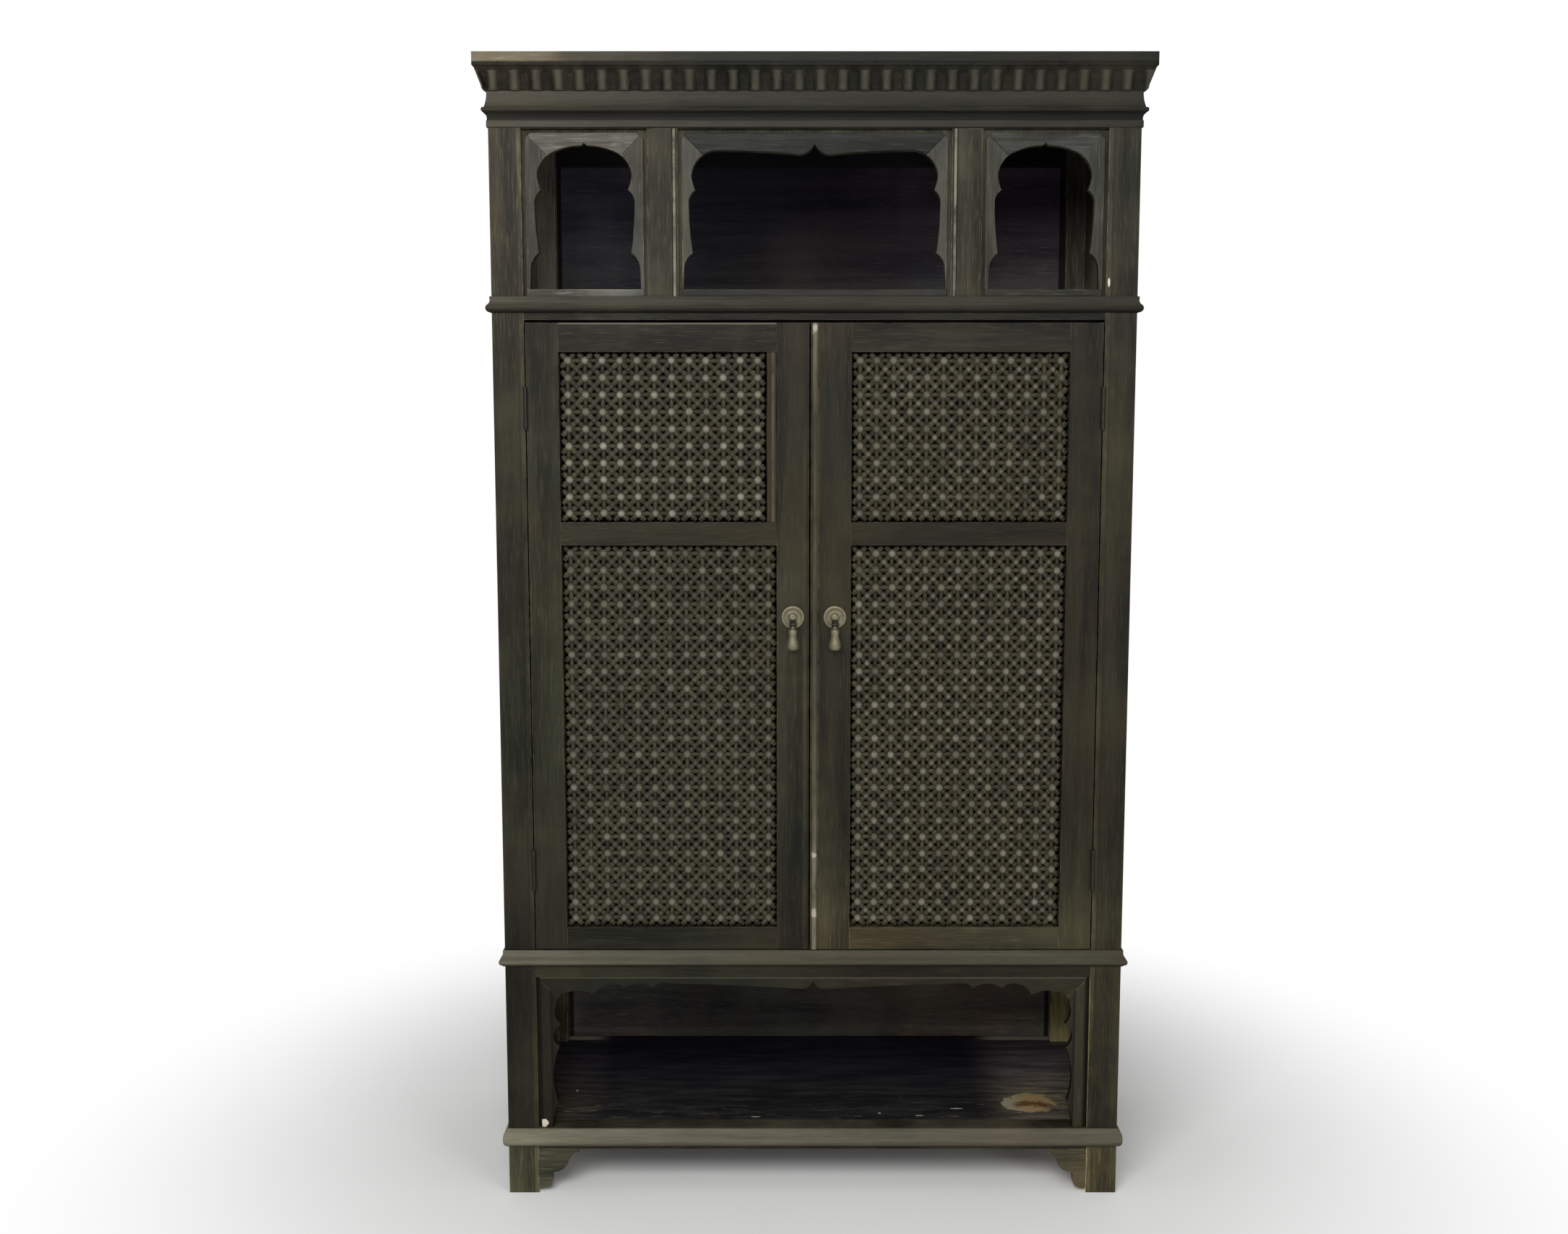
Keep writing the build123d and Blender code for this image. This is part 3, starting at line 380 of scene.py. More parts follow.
# and painted light and shade at shares of the width, from left to right
door_lean = [(0.0, 1.08), (0.5, 0.9), (1.0, 0.7)]
bright_left = [(0.0, 1.9), (0.12, 1.4), (0.3, 1.0), (0.6, 0.85), (1.0, 0.8)]
slab_lean = [(0.0, 4.0), (0.09, 3.4), (0.12, 1.6), (0.22, 0.9), (0.35, 0.42), (1.0, 0.36)]
cornice_lean = [(0.0, 1.3), (0.3, 1.0), (1.0, 0.85)]
arch_lean = [(0.0, 1.1), (0.5, 1.0), (1.0, 0.8)]
jamb_lean = [(0.0, 0.75), (0.4, 0.8), (0.6, 1.5), (1.0, 1.8)]
head_lean = [(0.0, 1.55), (0.2, 1.45), (0.27, 0.32), (0.72, 0.28), (0.8, 0.62), (1.0, 0.62)]
back_lean = [(0.0, 3.0), (0.08, 1.6), (0.2, 1.15), (0.32, 0.74), (0.65, 0.7), (0.76, 1.6),
             (0.84, 2.6), (1.0, 3.2)]

# lines along the lower frame's uprights, a painted highlight between lines of painted shade: how
# light, and from and to which half width
JAMB_LINES = (
    (grey(0.4), 0.4500, 0.4535), ((1.7, 1.66, 1.6), 0.4545, 0.4680), (grey(0.4), 0.4700, 0.4745),
)
# pale chips: (across, up, half width, half height)
JAMB_CHIPS = ((-0.4680, 0.1260, 0.0075, 0.0075), (0.4430, 0.1235, 0.0080, 0.0022))
POST_CHIPS = ((0.4825, 1.5680, 0.0019, 0.0080),)
# the half widths between which each mullion carries its bead
MULLION_BEAD = (0.226, 0.232)
# a painted highlight line on the left door's free edge, and a rubbed line on the lath, from and to
STILE_LINE = (-0.0185, -0.0125)
LATH_LINE = (-0.0700, -0.0665)
# bare wood on the meeting bead: (height, half length)
BEAD_CHIPS = ((1.4930, 0.0080), (0.6070, 0.0060), (0.5040, 0.0110))
# from and to which height the niche's back is painted bluer, as shade
NICHE_SHADE_TINT = (1.56, 1.74)
# the bare patch on the compartment's floor: its middle and its half width and half depth
PATCH = (0.394, -0.106)
PATCH_REACH = (0.052, 0.046)
# where the floor's back edge catches the light at its ends
LEDGE_RIGHT = 0.374
LEDGE_LEFT = -0.440
LEDGE_Y = 0.204
# crumbs of pale dirt and chips at the floor's front: (across, along, half width, half depth)
CRUMBS = (
    (0.259, -0.130, 0.0120, 0.0030), (0.252, -0.196, 0.0060, 0.0030), (0.055, -0.180, 0.0030, 0.0040),
    (-0.430, -0.050, 0.0030, 0.0050), (0.395, -0.187, 0.0040, 0.0040), (0.120, -0.150, 0.0025, 0.0030),
    (-0.100, -0.165, 0.0090, 0.0020), (0.190, -0.160, 0.0080, 0.0025),
)


def jamb_extra(g, colour):
    """Lines along the uprights of the lower frame, a painted highlight between lines of painted shade,
    and chips at its feet.
    """
    uneven = g.noise(g.own, 22.0, 3.0, 0.6) + 0.5
    for factor, start, end in JAMB_LINES:
        share = (g.between(abs(g.x), start, end) * uneven).limited()
        colour = g.mix(share, colour, colour * factor)
    return g.mix(g.spots(g.x, g.z, JAMB_CHIPS), colour, BARE)


def head_extra(g, colour):
    """The top edge of the lower frame is painted with a thin pale line."""
    edge = high("lower_arch").z
    return g.mix(g.step(g.z, edge - 0.0045, edge - 0.0015) * 0.6, colour, srgb(92, 87, 72))


def post_extra(g, colour):
    """A painted highlight along the inner arris of the front posts, a dark line beside it, and a few
    chips.
    """
    half = abs(g.x)
    front = g.step(g.y, y_front + 0.004, y_front + 0.001)
    line = g.between(half, x_post + 0.0005, x_post + 0.0065) * front
    line = line * g.step(g.noise(g.own, 16.0, 4.0, 0.65), 0.3, 0.6)
    colour = g.mix(line, colour, colour * (1.7, 1.66, 1.58))
    groove = g.between(half, x_post + 0.0085, x_post + 0.0105) * front
    colour = g.mix(groove * 0.45, colour, DARK)
    return g.mix(g.spots(g.x, g.z, POST_CHIPS) * front, colour, BARE)


def mullion_extra(g, colour):
    """The mullion's bead is rubbed pale and carries a painted highlight, with painted shade in the
    grooves along both its sides.
    """
    proud = g.step(g.y, y_front - 0.0002, y_front - 0.0011)
    uneven = g.step(g.noise(g.own, 20.0, 4.0, 0.65), 0.25, 0.6)
    colour = g.mix(proud * uneven * 0.75, colour, srgb(132, 128, 112))
    for edge in MULLION_BEAD:
        groove = g.between(abs(g.x), edge - 0.0009, edge + 0.0009, 0.0006)
        colour = g.mix(groove * 0.85, colour, darker(DARK, 0.5))
    return colour


def stile_extra(g, colour):
    """The left door's free edge has a painted highlight line, more so in its lower part, with a dark
    line beside it.
    """
    down = g.step(g.z, 1.36, 1.30) * 0.3 + g.step(g.z, 1.01, 0.94) * 0.6
    colour = g.mix(g.between(g.x, *STILE_LINE) * down, colour, colour * (1.9, 1.85, 1.85))
    dark = g.between(g.x, STILE_LINE[1] + 0.001, STILE_LINE[1] + 0.0025)
    return g.mix(dark * 0.7, colour, DARK)


def rail_extra(g, colour):
    """The left door's top edge is painted with a thin pale line."""
    edge = high("left_door_rails").z
    line = g.step(g.z, edge - 0.0034, edge - 0.0018) * g.step(g.x, 0.0, -0.003)
    return g.mix(line * 0.8, colour, srgb(94, 91, 80))


def slab_extra(g, colour):
    """The slab's edge is painted lighter to the left, as light; its top is not, and is darker. Its
    lower edge is painted darker, as shade.
    """
    upward = g.step(g.facing[2], 0.5, 0.9)
    colour = colour * g.mix(upward, g.lookup(g.across, slab_lean), grey(0.45))
    under = g.step(g.z, z_top + 0.0028, z_top + 0.001)
    return g.mix(under * 0.75, colour, colour * grey(0.4))


def back_extra(g, colour):
    """Boards painted lighter towards the open compartments as light falling in, and bluer high in the
    niche as shade, with painted shadow in the gap beside each back post.
    """
    painted_light = colour * g.lookup(g.level, back_shading) * g.lookup(g.across, back_lean)
    painted_light = painted_light * g.mix(g.step(g.z, *NICHE_SHADE_TINT), grey(1.0), (0.97, 0.94, 1.22))
    inward = g.step(g.facing[1], -0.2, -0.6)
    colour = g.mix(inward, colour * (1.5, 1.5, 1.35), painted_light)
    gap_shadow = g.step(abs(g.x), x_post - 0.0095, x_post - 0.007) * inward
    return g.mix(gap_shadow * 0.85, colour, darker(DARK, 0.3))


def lath_extra(g, colour):
    """A tan line where the lath's right half is rubbed through."""
    line = g.between(g.x, *LATH_LINE) * g.step(g.noise(g.own, 24.0, 3.0, 0.6), 0.25, 0.55)
    return g.mix(line * 0.7, colour, srgb(90, 76, 58))


def bead_extra(g, colour):
    """Stain rubbed off the meeting bead's nose, down to pale wood at its foot and its top."""
    front = g.step(g.y, y_front - 0.0014, y_front - 0.0036)
    uneven = g.step(g.noise(g.own * (1.0, 1.0, 0.2), 60.0, 4.0, 0.65), 0.25, 0.6)
    rubbed = uneven * g.split(g.lookup(g.level, bead_rub))[0]
    colour = g.mix(rubbed * front, colour, srgb(104, 99, 84))
    ragged = (g.noise(g.own, 130.0, 4.0, 0.7) - 0.5) * 3.0
    chip = 0.0
    for middle, half in BEAD_CHIPS:
        chip = g.step(abs((g.z - middle) / half) + ragged, 1.0, 0.2).larger(chip)
    return g.mix(chip * front, colour, srgb(156, 150, 134))


def floor_extra(g, colour):
    """Worn boards, painted darker and bluer at the back as shade and lighter at both open ends as
    light, with pale dust and one bare patch at the right.
    """
    streak = g.step(g.noise(g.own * (0.14, 1.0, 1.0), 62.0, 5.0, 0.72), 0.36, 0.66)
    colour = g.mix(0.8, colour, g.mix(streak, srgb(21, 20, 25), srgb(46, 44, 44)))
    # painted shade: darker and bluer towards the back
    colour = colour * g.mix(g.step(g.y, -0.08, 0.1), grey(1.0), (0.66, 0.64, 1.0))
    dash = g.step(g.noise(g.own * (0.22, 1.0, 1.0), 95.0, 4.0, 0.75), 0.56, 0.68)
    colour = g.mix(g.step(g.y, 0.0, -0.17) * dash * 0.6, colour, srgb(88, 83, 74))
    # painted light at the open ends, more at the right
    ends = g.step(g.x, 0.29, 0.4) + g.step(g.x, -0.36, -0.44) * 0.4
    colour = g.mix(ends, colour, colour * (6.6, 6.3, 4.4))
    ends = g.step(g.x, LEDGE_RIGHT - 0.05, LEDGE_RIGHT)
    ends = ends.larger(g.step(g.x, LEDGE_LEFT + 0.05, LEDGE_LEFT))
    colour = g.mix(g.step(g.y, LEDGE_Y - 0.006, LEDGE_Y) * ends, colour, srgb(168, 162, 142))

    across = (g.x - PATCH[0]) / PATCH_REACH[0]
    along = (g.y - PATCH[1]) / PATCH_REACH[1]
    ragged = (g.noise(g.place, 30.0, 5.0, 0.68) - 0.5) * 2.6
    torn = (g.noise(g.place, 95.0, 4.0, 0.7) - 0.5) * 1.6
    bare = g.mix(g.step(across + torn, -0.2, -0.5), srgb(152, 130, 90), srgb(146, 138, 114))
    sag = along + across * across * 0.6 + torn * 0.5
    stripe = g.between(sag, -0.25, 0.2, 0.12) * g.step(across, -0.75, -0.4)
    bare = g.mix(stripe * 0.85, bare, srgb(84, 52, 22))
    reach = across * across + along * along + ragged
    colour = g.mix(g.step(reach, 0.9, 0.62), colour, bare)
    return g.mix(g.spots(g.x, g.y, CRUMBS), colour, srgb(150, 145, 130))


# ---------------------------------------------------------------- the cabinet's own materials

post = {"inner": True, "extra": post_extra}
left_door = {"lean": door_lean, "shading_by_height": left_door_shading}
right_door = {"lean": door_lean, "shading_by_height": right_door_shading}
plain = {"dust": 0.25, "rough": 0.66, "specular": 0.1}
# painted highlight on the mouldings' lit faces, painted shade under their noses
run = {
    "dust": 0.4, "edge": 0.0016, "bump": 0.25, "wear": 0.45, "hollow_shade": True,
    "polish": (srgb(116, 112, 96), 0.75), "shading_by_height": moulding_shading, "lean": bright_left,
}
wood_left = wood("ebonised_upright_left", "z", FINISH, shading_by_height=left_shading, **post)
wood_right = wood("ebonised_upright_right", "z", FINISH, shading_by_height=right_shading, **post)
mullion_wood = wood("ebonised_mullion", "z", FINISH, inner=True, extra=mullion_extra,
                    shading_by_height=mullion_shading)
left_door_z = wood("left_door_upright", "z", FINISH, **left_door)
left_door_x = wood("left_door_across", "x", FINISH, extra=rail_extra, **left_door)
left_edge_z = wood("left_door_free_edge", "z", FINISH, extra=stile_extra, **left_door)
right_door_z = wood("right_door_upright", "z", FINISH, **right_door)
right_door_x = wood("right_door_across", "x", FINISH, **right_door)
wood_x = wood("ebonised_across", "x", FINISH, shading_by_height=rail_shading, lean=bright_left)
wood_y = wood("ebonised_along", "y", FINISH, shading_by_height=left_shading, inner=True)
slab_wood = wood("slab_across", "x", SLAB, wear=0.7, dust=0.5, extra=slab_extra)
inside_x = wood("inside_across", "x", INSIDE, **plain)
inside_y = wood("inside_along", "y", INSIDE, **plain)
back_wood = wood("back_across", "x", BACK, extra=back_extra, **plain)
floor_wood = wood("compartment_floor_wood", "x", DEEP, rough=0.6, dust=0.12, specular=0.15,
                  extra=floor_extra)
# the lattice is painted lighter to the left as light, and its balls carry rubbed wear and a painted
# highlight
lattice_wood = wood("turned_lattice", "z", TURNED, edge=0.0008, wear=0.2, bump=0.15, specular=0.2,
                    polish=(srgb(136, 133, 118), 0.85), lean=[(0.0, 1.2), (1.0, 0.95)], apart=True)
lath_wood = wood("repair_lath", "z", LATH, edge=0.0016, extra=lath_extra)
bead_wood = wood("meeting_bead", "z", BEAD, extra=bead_extra)
carved_wood = wood("carved_band", "z", FINISH, dust=0.2, wear=0.3, hollow_shade=True, specular=0.12,
                   polish=(srgb(96, 92, 80), 0.75), lean=cornice_lean)
moulding_x = wood("moulding_across", "x", MOULDED, **run)
moulding_y = wood("moulding_along", "y", MOULDED, **run)
arch_z = wood("arch_upright", "z", ARCH_SIDES, edge=0.0032, wear=1.0, lean=arch_lean)
arch_x = wood("arch_across", "x", ARCH_HEAD, edge=0.0032, lean=head_lean)
channel_wood = wood("channel", "z", FINISH, dust=0.1, wear=0.2, specular=0.1, shading_by_height=channel_shading)
jamb_z = wood("lower_jamb_upright", "z", JAMB, edge=0.003, extra=jamb_extra, lean=jamb_lean)
apron_x = wood("apron_across", "x", APRON, edge=0.003, wear=0.9, extra=head_extra, lean=jamb_lean)
bracket_wood = wood("bracket_across", "x", FOOT, edge=0.003, wear=1.0, dust=0.5)
brass = metal("aged_brass", (52, 49, 36), (96, 91, 72), (138, 132, 108), rough=0.56)
black_brass = metal("blackened_brass", (20, 18, 13), (34, 31, 23), (74, 67, 46), metallic=0.5)


# ---------------------------------------------------------------- meshes

def add_piece(name, points, faces, material, body, slot, replaced=(), sharp=32.0, closed=True,
              **shares):
    """A smooth-shaded piece on its body; shares are named values for its vertices."""
    mesh = bpy.data.meshes.new(name)
    mesh.from_pydata([tuple(p) for p in points], [], [tuple(f) for f in faces])
    mesh.update()
    for key, values in shares.items():
        attribute = mesh.attributes.new(key, "FLOAT", "POINT")
        attribute.data.foreach_set("value", np.asarray(values, np.float32))
    mesh.shade_smooth()
    mesh.set_sharp_from_angle(angle=math.radians(sharp))
    mesh.materials.append(material)
    obj = in_scene(name, mesh)
    if closed:
        work = bmesh.new()
        work.from_mesh(mesh)
        bmesh.ops.recalc_face_normals(work, faces=work.faces)
        work.to_mesh(mesh)
        work.free()
        mesh.update()
    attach(obj, body)
    if replaced:
        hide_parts(*replaced)


def skin(rings, around, capped=True, looped=False):
    """Faces over rings of points, laid out ring after ring, each with as many points around."""
    faces = []
    for i in range(rings if looped else rings - 1):
        here, there = i * around, (i + 1) % rings * around
        for k in range(around):
            n = (k + 1) % around
            faces.append((here + k, here + n, there + n, there + k))
    if capped:
        faces += [list(range(around)), list(range((rings - 1) * around, rings * around))]
    return faces


def spun(profile, flats):
    """Rings of points about the x axis, from (place, radius) pairs."""
    turns = [2 * math.pi * k / flats for k in range(flats)]
    return np.array([
        (place, radius * math.cos(turn), radius * math.sin(turn))
        for place, radius in profile for turn in turns
    ])


def arc(start, middle, end, step):
    """Points along the circle through three points (in mm), the start left out."""
    (ax, ay), (bx, by), (cx, cy) = start, middle, end
    d = 2 * (ax * (by - cy) + bx * (cy - ay) + cx * (ay - by))
    if abs(d) < 1e-6:
        return [end]
    aa, bb, cc = ax**2 + ay**2, bx**2 + by**2, cx**2 + cy**2
    ux = (aa * (by - cy) + bb * (cy - ay) + cc * (ay - by)) / d
    uy = (aa * (cx - bx) + bb * (ax - cx) + cc * (bx - ax)) / d
    radius = math.hypot(ax - ux, ay - uy)
    t0, tm, t1 = (math.atan2(y - uy, x - ux) for x, y in (start, middle, end))
    turn = (t1 - t0) % (2 * math.pi)
    if (tm - t0) % (2 * math.pi) > turn:
        turn -= 2 * math.pi
    count = max(3, int(abs(turn) * radius / step))
    turns = [t0 + turn * k / count for k in range(1, count)]
    return [(ux + radius * math.cos(t), uy + radius * math.sin(t)) for t in turns] + [end]


def trace(start, steps, step=0.6):
    """Outline from start: a step is the end of a line, or (point on an arc, its end)."""
    points = [start]
    for one in steps:
        if isinstance(one[0], tuple):
            points += arc(points[-1], one[0], one[1], step)
        else:
            points.append(one)
    return points


# ---------------------------------------------------------------- mouldings

# how far the planing wavers, in mm
DRIFT = 0.25


def run_moulding(name, node, outline, rub_and_highlight, shade_heights):
    """A moulding along the front and both sides, mitred at the corners.

    outline is the profile in mm, outwards and up. rub_and_highlight and shade_heights give, 0 to 1 at
    heights of the profile, the rubbed wear and painted highlight, and the painted shade under its
    noses.
    """
    base_z = low(node).z
    count = len(outline)
    dirt = [np.interp(up, *zip(*shade_heights)) for _, up in outline]
    for side, stations, material in (
        ("front", 90, moulding_x), ("left", 34, moulding_y), ("right", 34, moulding_y),
    ):
        points, polish = [], []
        for i in range(stations + 1):
            for k, (out, up) in enumerate(outline):
                hand = noise.noise(Vector((i * 0.35, k * 0.21, len(name)))) * 0.5 + 0.5
                inner_point = 1 < k < count - 2 and 0 < i < stations
                reach = (out - DRIFT * hand if inner_point else out) * MM
                z = base_z + up * MM
                if side == "front":
                    x = (2 * i / stations - 1) * (half_body + out * MM)
                    points.append((x, y_front - reach, z))
                else:
                    start = y_front - out * MM
                    y = start + (y_back - start) * i / stations
                    points.append((SIDES[side] * (half_body + reach), y, z))
                polish.append(np.interp(up, *zip(*rub_and_highlight)) * (0.6 + 0.4 * hand))
        add_piece(f"{name}_{side}", points, skin(stations + 1, count), material, "carcass",
                  "moulding_wood", (node,), polish=polish, dirt=np.tile(dirt, stations + 1))


neck = trace((0, 0), [
    (2.5, 0), (2.5, 10), (1.5, 11), ((2.15, 18.1), (5.3, 22.8)), ((9.5, 27), (5.3, 31.2)),
    ((2.5, 42), (1.5, 57)), (0, 57),
])
waist = trace((0, 0), [
    (3, 0), ((9, 6.5), (5.9, 13)), ((3.4, 16.6), (3, 22)), (3, 26), (0, 26),
])
lower = trace((0, 0), [
    (3, 0), (4.2, 2), ((9.5, 8), (7, 14)), ((4.5, 18), (3, 24)), (3, 28), (0, 28),
])
base = trace((0, 0), [
    (3, 0), ((7.2, 4.6), (8.5, 13)), ((7, 24.4), (3, 31)), (3, 32), (0, 32),
])
# for each moulding: where it is rubbed and painted with highlight, and where painted shade sits under
# its noses, as (height, share)
for name, outline, rub_and_highlight, shade_heights in (
    ("neck", neck, ((0, 0.7), (10, 0.7), (12, 0), (30, 0.1), (36, 0.45), (57, 0.55)),
     ((0, 0.2), (2, 0), (10, 0), (12, 0.85), (22, 0.75), (27, 0.3), (31, 0))),
    ("waist", waist, ((0, 0), (5, 0.15), (8, 0.2), (13, 0.7), (24, 0.9), (26, 0.7)),
     ((0, 0.7), (4, 0.35), (7, 0))),
    ("lower", lower, ((0, 0), (4, 0.3), (8, 0.8), (13, 0.35), (17, 0.4), (21, 0.9), (28, 0.9)),
     ((0, 0.8), (3, 0.5), (6, 0))),
    ("base", base, ((0, 0.3), (8, 0.8), (14, 1), (20, 0.75), (32, 0.8)), ((0, 0.3), (4, 0))),
):
    run_moulding(f"{name}_run", f"{name}_moulding", outline, rub_and_highlight, shade_heights)


# ---------------------------------------------------------------- carved cornice

FLUTE_PITCH = 35.3
FLUTE_HALF = 16.8
FLUTE_DEEP = 6.8
FLUTE_RUNOUT = 11.0
# the front run starts off the middle, and the side runs off the front corner
FRONT_SHIFT = -8.0
SIDE_SHIFT = 22.0
CORNICE_TALL = 42.0
UNDER_LIP = 37.0
LIP_REACH = 21.0
FLUTE_TOP = UNDER_LIP - 1.0
# how closely the band is sampled, and in how many steps a mitre fans out
FLUTE_STEP = 1.325
FAN = 10


def flute(s, up, out):
    """How deep the gouge has gone at s along the run and up the band (mm), and its painted shade,
    darker in the bowl and towards the foot.
    """
    place = (s / FLUTE_PITCH + 0.5) % 1.0 - 0.5
    across = abs(place) * FLUTE_PITCH / FLUTE_HALF
    if across >= 1.0 or up >= FLUTE_TOP:
        return 0.0, 0.0
    bowl = min(1.0, 0.62 * (1.0 + math.cos(math.pi * across)))
    end = min(1.0, (FLUTE_TOP - up) / FLUTE_RUNOUT)
    end = end * end * (3.0 - 2.0 * end)
    deep = min(FLUTE_DEEP, max(out - 0.8, 0.0)) * bowl * end
    return deep, bowl * (0.55 + 0.45 * end) * (0.7 - 0.35 * up / FLUTE_TOP)


def carve_cornice(side, sign):
    """The slope under the slab on one side, with its upright gouge cuts, as a closed board."""
    base_z = low("cornice_front").z
    front = side == "front"
    inner = half_body / MM
    begin, stop = (-inner, inner) if front else (y_front / MM, y_back / MM)
    shift = FRONT_SHIFT if front else begin + SIDE_SHIFT

    def spot(along, reach, up):
        if front:
            return along * MM, y_front - reach * MM, base_z + up * MM
        return sign * (half_body + reach * MM), along * MM, base_z + up * MM

    face = trace((5, 0), [((7.6, 2.8), (8.5, 7))], 1.1)
    face += [(8.5 + 9.5 * k / 22, 7 + 27.0 * k / 22) for k in range(1, 23)]
    face += [(LIP_REACH, UNDER_LIP), (LIP_REACH, CORNICE_TALL)]
    span = [float(s) for s in np.arange(begin, stop + 0.01, FLUTE_STEP)]
    if stop - span[-1] > 0.1:
        span.append(stop)
    # each column stands at its root, and leans towards the mitre as it reaches outwards
    columns = [(begin, -k / FAN) for k in range(FAN, 0, -1)] + [(s, 0.0) for s in span]
    if front:
        columns += [(stop, k / FAN) for k in range(1, FAN + 1)]
    points, dirt, polish = [], [], []
    for root, lean in columns:
        for out, up in face:
            along = root + out * lean
            from_mitre = inner + out - abs(along) if front else along - begin + out
            edge = min(1.0, max(0.0, from_mitre - 1.5) / 5.0)
            deep, flute_shade = (edge * share for share in flute(along - shift, up, out))
            points.append(spot(along, out - deep, up))
            # painted shade in the flutes, on the lip under the slab and on the strip below it; painted
            # highlight on the shallow parts below 30 mm
            dirt.append(max(flute_shade, 0.72 if up > UNDER_LIP - 0.5 else 0.4 if up > 31 else 0.0))
            polish.append(max(0.0, 0.45 - 0.15 * deep) if up < 30 else 0.0)
        points += [spot(root, 0.0, CORNICE_TALL), spot(root, 0.0, 0.0)]
        dirt += [0.0, 0.0]
        polish += [0.0, 0.0]
    add_piece(f"cornice_carved_{side}", points, skin(len(columns), len(face) + 2), carved_wood,
              "carcass", "moulding_wood", (f"cornice_{side}",), 40.0, dirt=dirt, polish=polish)


for side, sign in {"front": 0, **SIDES}.items():
    carve_cornice(side, sign)


# ---------------------------------------------------------------- scalloped boards

def flat_board(name, outlines, x, y, z, thickness, materials, body, slot, soften=1.1,
               facing="y", replaced=()):
    """Boards cut to outlines (mm), their edges eased, stood upright with their fronts at y."""
    half = thickness * MM / 2
    for n, outline in enumerate(outlines):
        curve = bpy.data.curves.new(f"{name}_{n}", "CURVE")
        curve.dimensions = "2D"
        curve.fill_mode = "BOTH"
        curve.extrude = half - soften * MM
        curve.bevel_depth = soften * MM
        curve.bevel_resolution = 2
        curve.offset = -soften * MM
        spline = curve.splines.new("POLY")
        spline.points.add(len(outline) - 1)
        for point, (px, py) in zip(spline.points, outline):
            point.co = (px * MM, py * MM, 0, 1)
        spline.use_cyclic_u = True
        cut = in_scene(f"{name}_{n}", curve)
        mesh = bpy.data.meshes.new_from_object(cut)
        bpy.data.objects.remove(cut)
        co = np.array([v.co for v in mesh.vertices])
        if facing == "y":
            co = np.column_stack([x + co[:, 0], y + half - co[:, 2], z + co[:, 1]])
        else:
            co = np.column_stack([x + half + co[:, 2], y + co[:, 0], z + co[:, 1]])
        add_piece(f"{name}_{n}" if len(outlines) > 1 else name, co,
                  [p.vertices for p in mesh.polygons], materials[n], body, slot, replaced, 38.0)


def crossing(outline, inside_of):
    """Where an outline first leaves the region that inside_of tells, and its index."""
    for i in range(len(outline) - 1):
        (x0, y0), (x1, y1) = outline[i], outline[i + 1]
        a, b = inside_of(x0, y0), inside_of(x1, y1)
        if (a < 0) != (b < 0):
            t = a / (a - b)
            return i + 1, (x0 + t * (x1 - x0), y0 + t * (y1 - y0))
    raise ValueError("the outline never crosses the mitre")


def layer_boards(half, height, opening, sill, inset=0.0, drop=0.0, clip=0.0):
    """Head, right jamb, left jamb and sill of one layer of a frame, from its lower middle.

    inset and drop are how far the layer stays inside the frame's sides and top, and clip cuts
    its upper corners. Its mitres run to the corners of the whole frame.
    """
    lifted = [(x, y + sill) for x, y in opening]
    index, meet = crossing(lifted, lambda x, y: (half - x) - (height - y))
    side, top = half - inset, height - drop
    if clip:
        flank, corner = [(side, top - clip)], (side - clip / 2, top - clip / 2)
        crest = [(side - clip, top)]
    elif inset:
        flank, corner, crest = [], (side, height - inset), [(side, top)]
    else:
        flank, corner, crest = [], (side, top), []
    jamb = [(side, sill)] + flank + [corner, meet] + lifted[:index][::-1]
    right = crest + [corner, meet] + lifted[index:]
    boards = [right + [(-x, y) for x, y in right[::-1][1:]], jamb, [(-x, y) for x, y in jamb]]
    if sill:
        boards.append([(-side, 0), (side, 0), (side, sill), (-side, sill)])
    return boards


BOARD_RECESS = 3.0
BOARD = 16.0
CHANNEL_WIDE = 6.0
CHANNEL_DEEP = 5.0
EASED = 1.1


def scalloped_frame(node, x, half, height, opening, sill, woods, drop=0.0, clip=0.0):
    """The boards of one frame: a rear layer, and a face with a sunk channel round it."""
    y_face = y_front + BOARD_RECESS * MM
    z = low(node).z
    face = layer_boards(half, height, opening, sill, CHANNEL_WIDE, drop, clip)
    flat_board(f"{node}_board_face", face, x, y_face, z, CHANNEL_DEEP + EASED, woods, "carcass",
               "arch_wood", EASED, replaced=(node,))
    rear = layer_boards(half, height, opening, sill)
    flat_board(f"{node}_board_rear", rear, x, y_face + CHANNEL_DEEP * MM, z, BOARD - CHANNEL_DEEP,
               [channel_wood] * 4, "carcass", "arch_wood", 0.0, replaced=(node,))


LOBE_DROP = 75.0
CUSP_DROP = 22.0
CORNER_CLIP = 10.0
SILL = 12.0


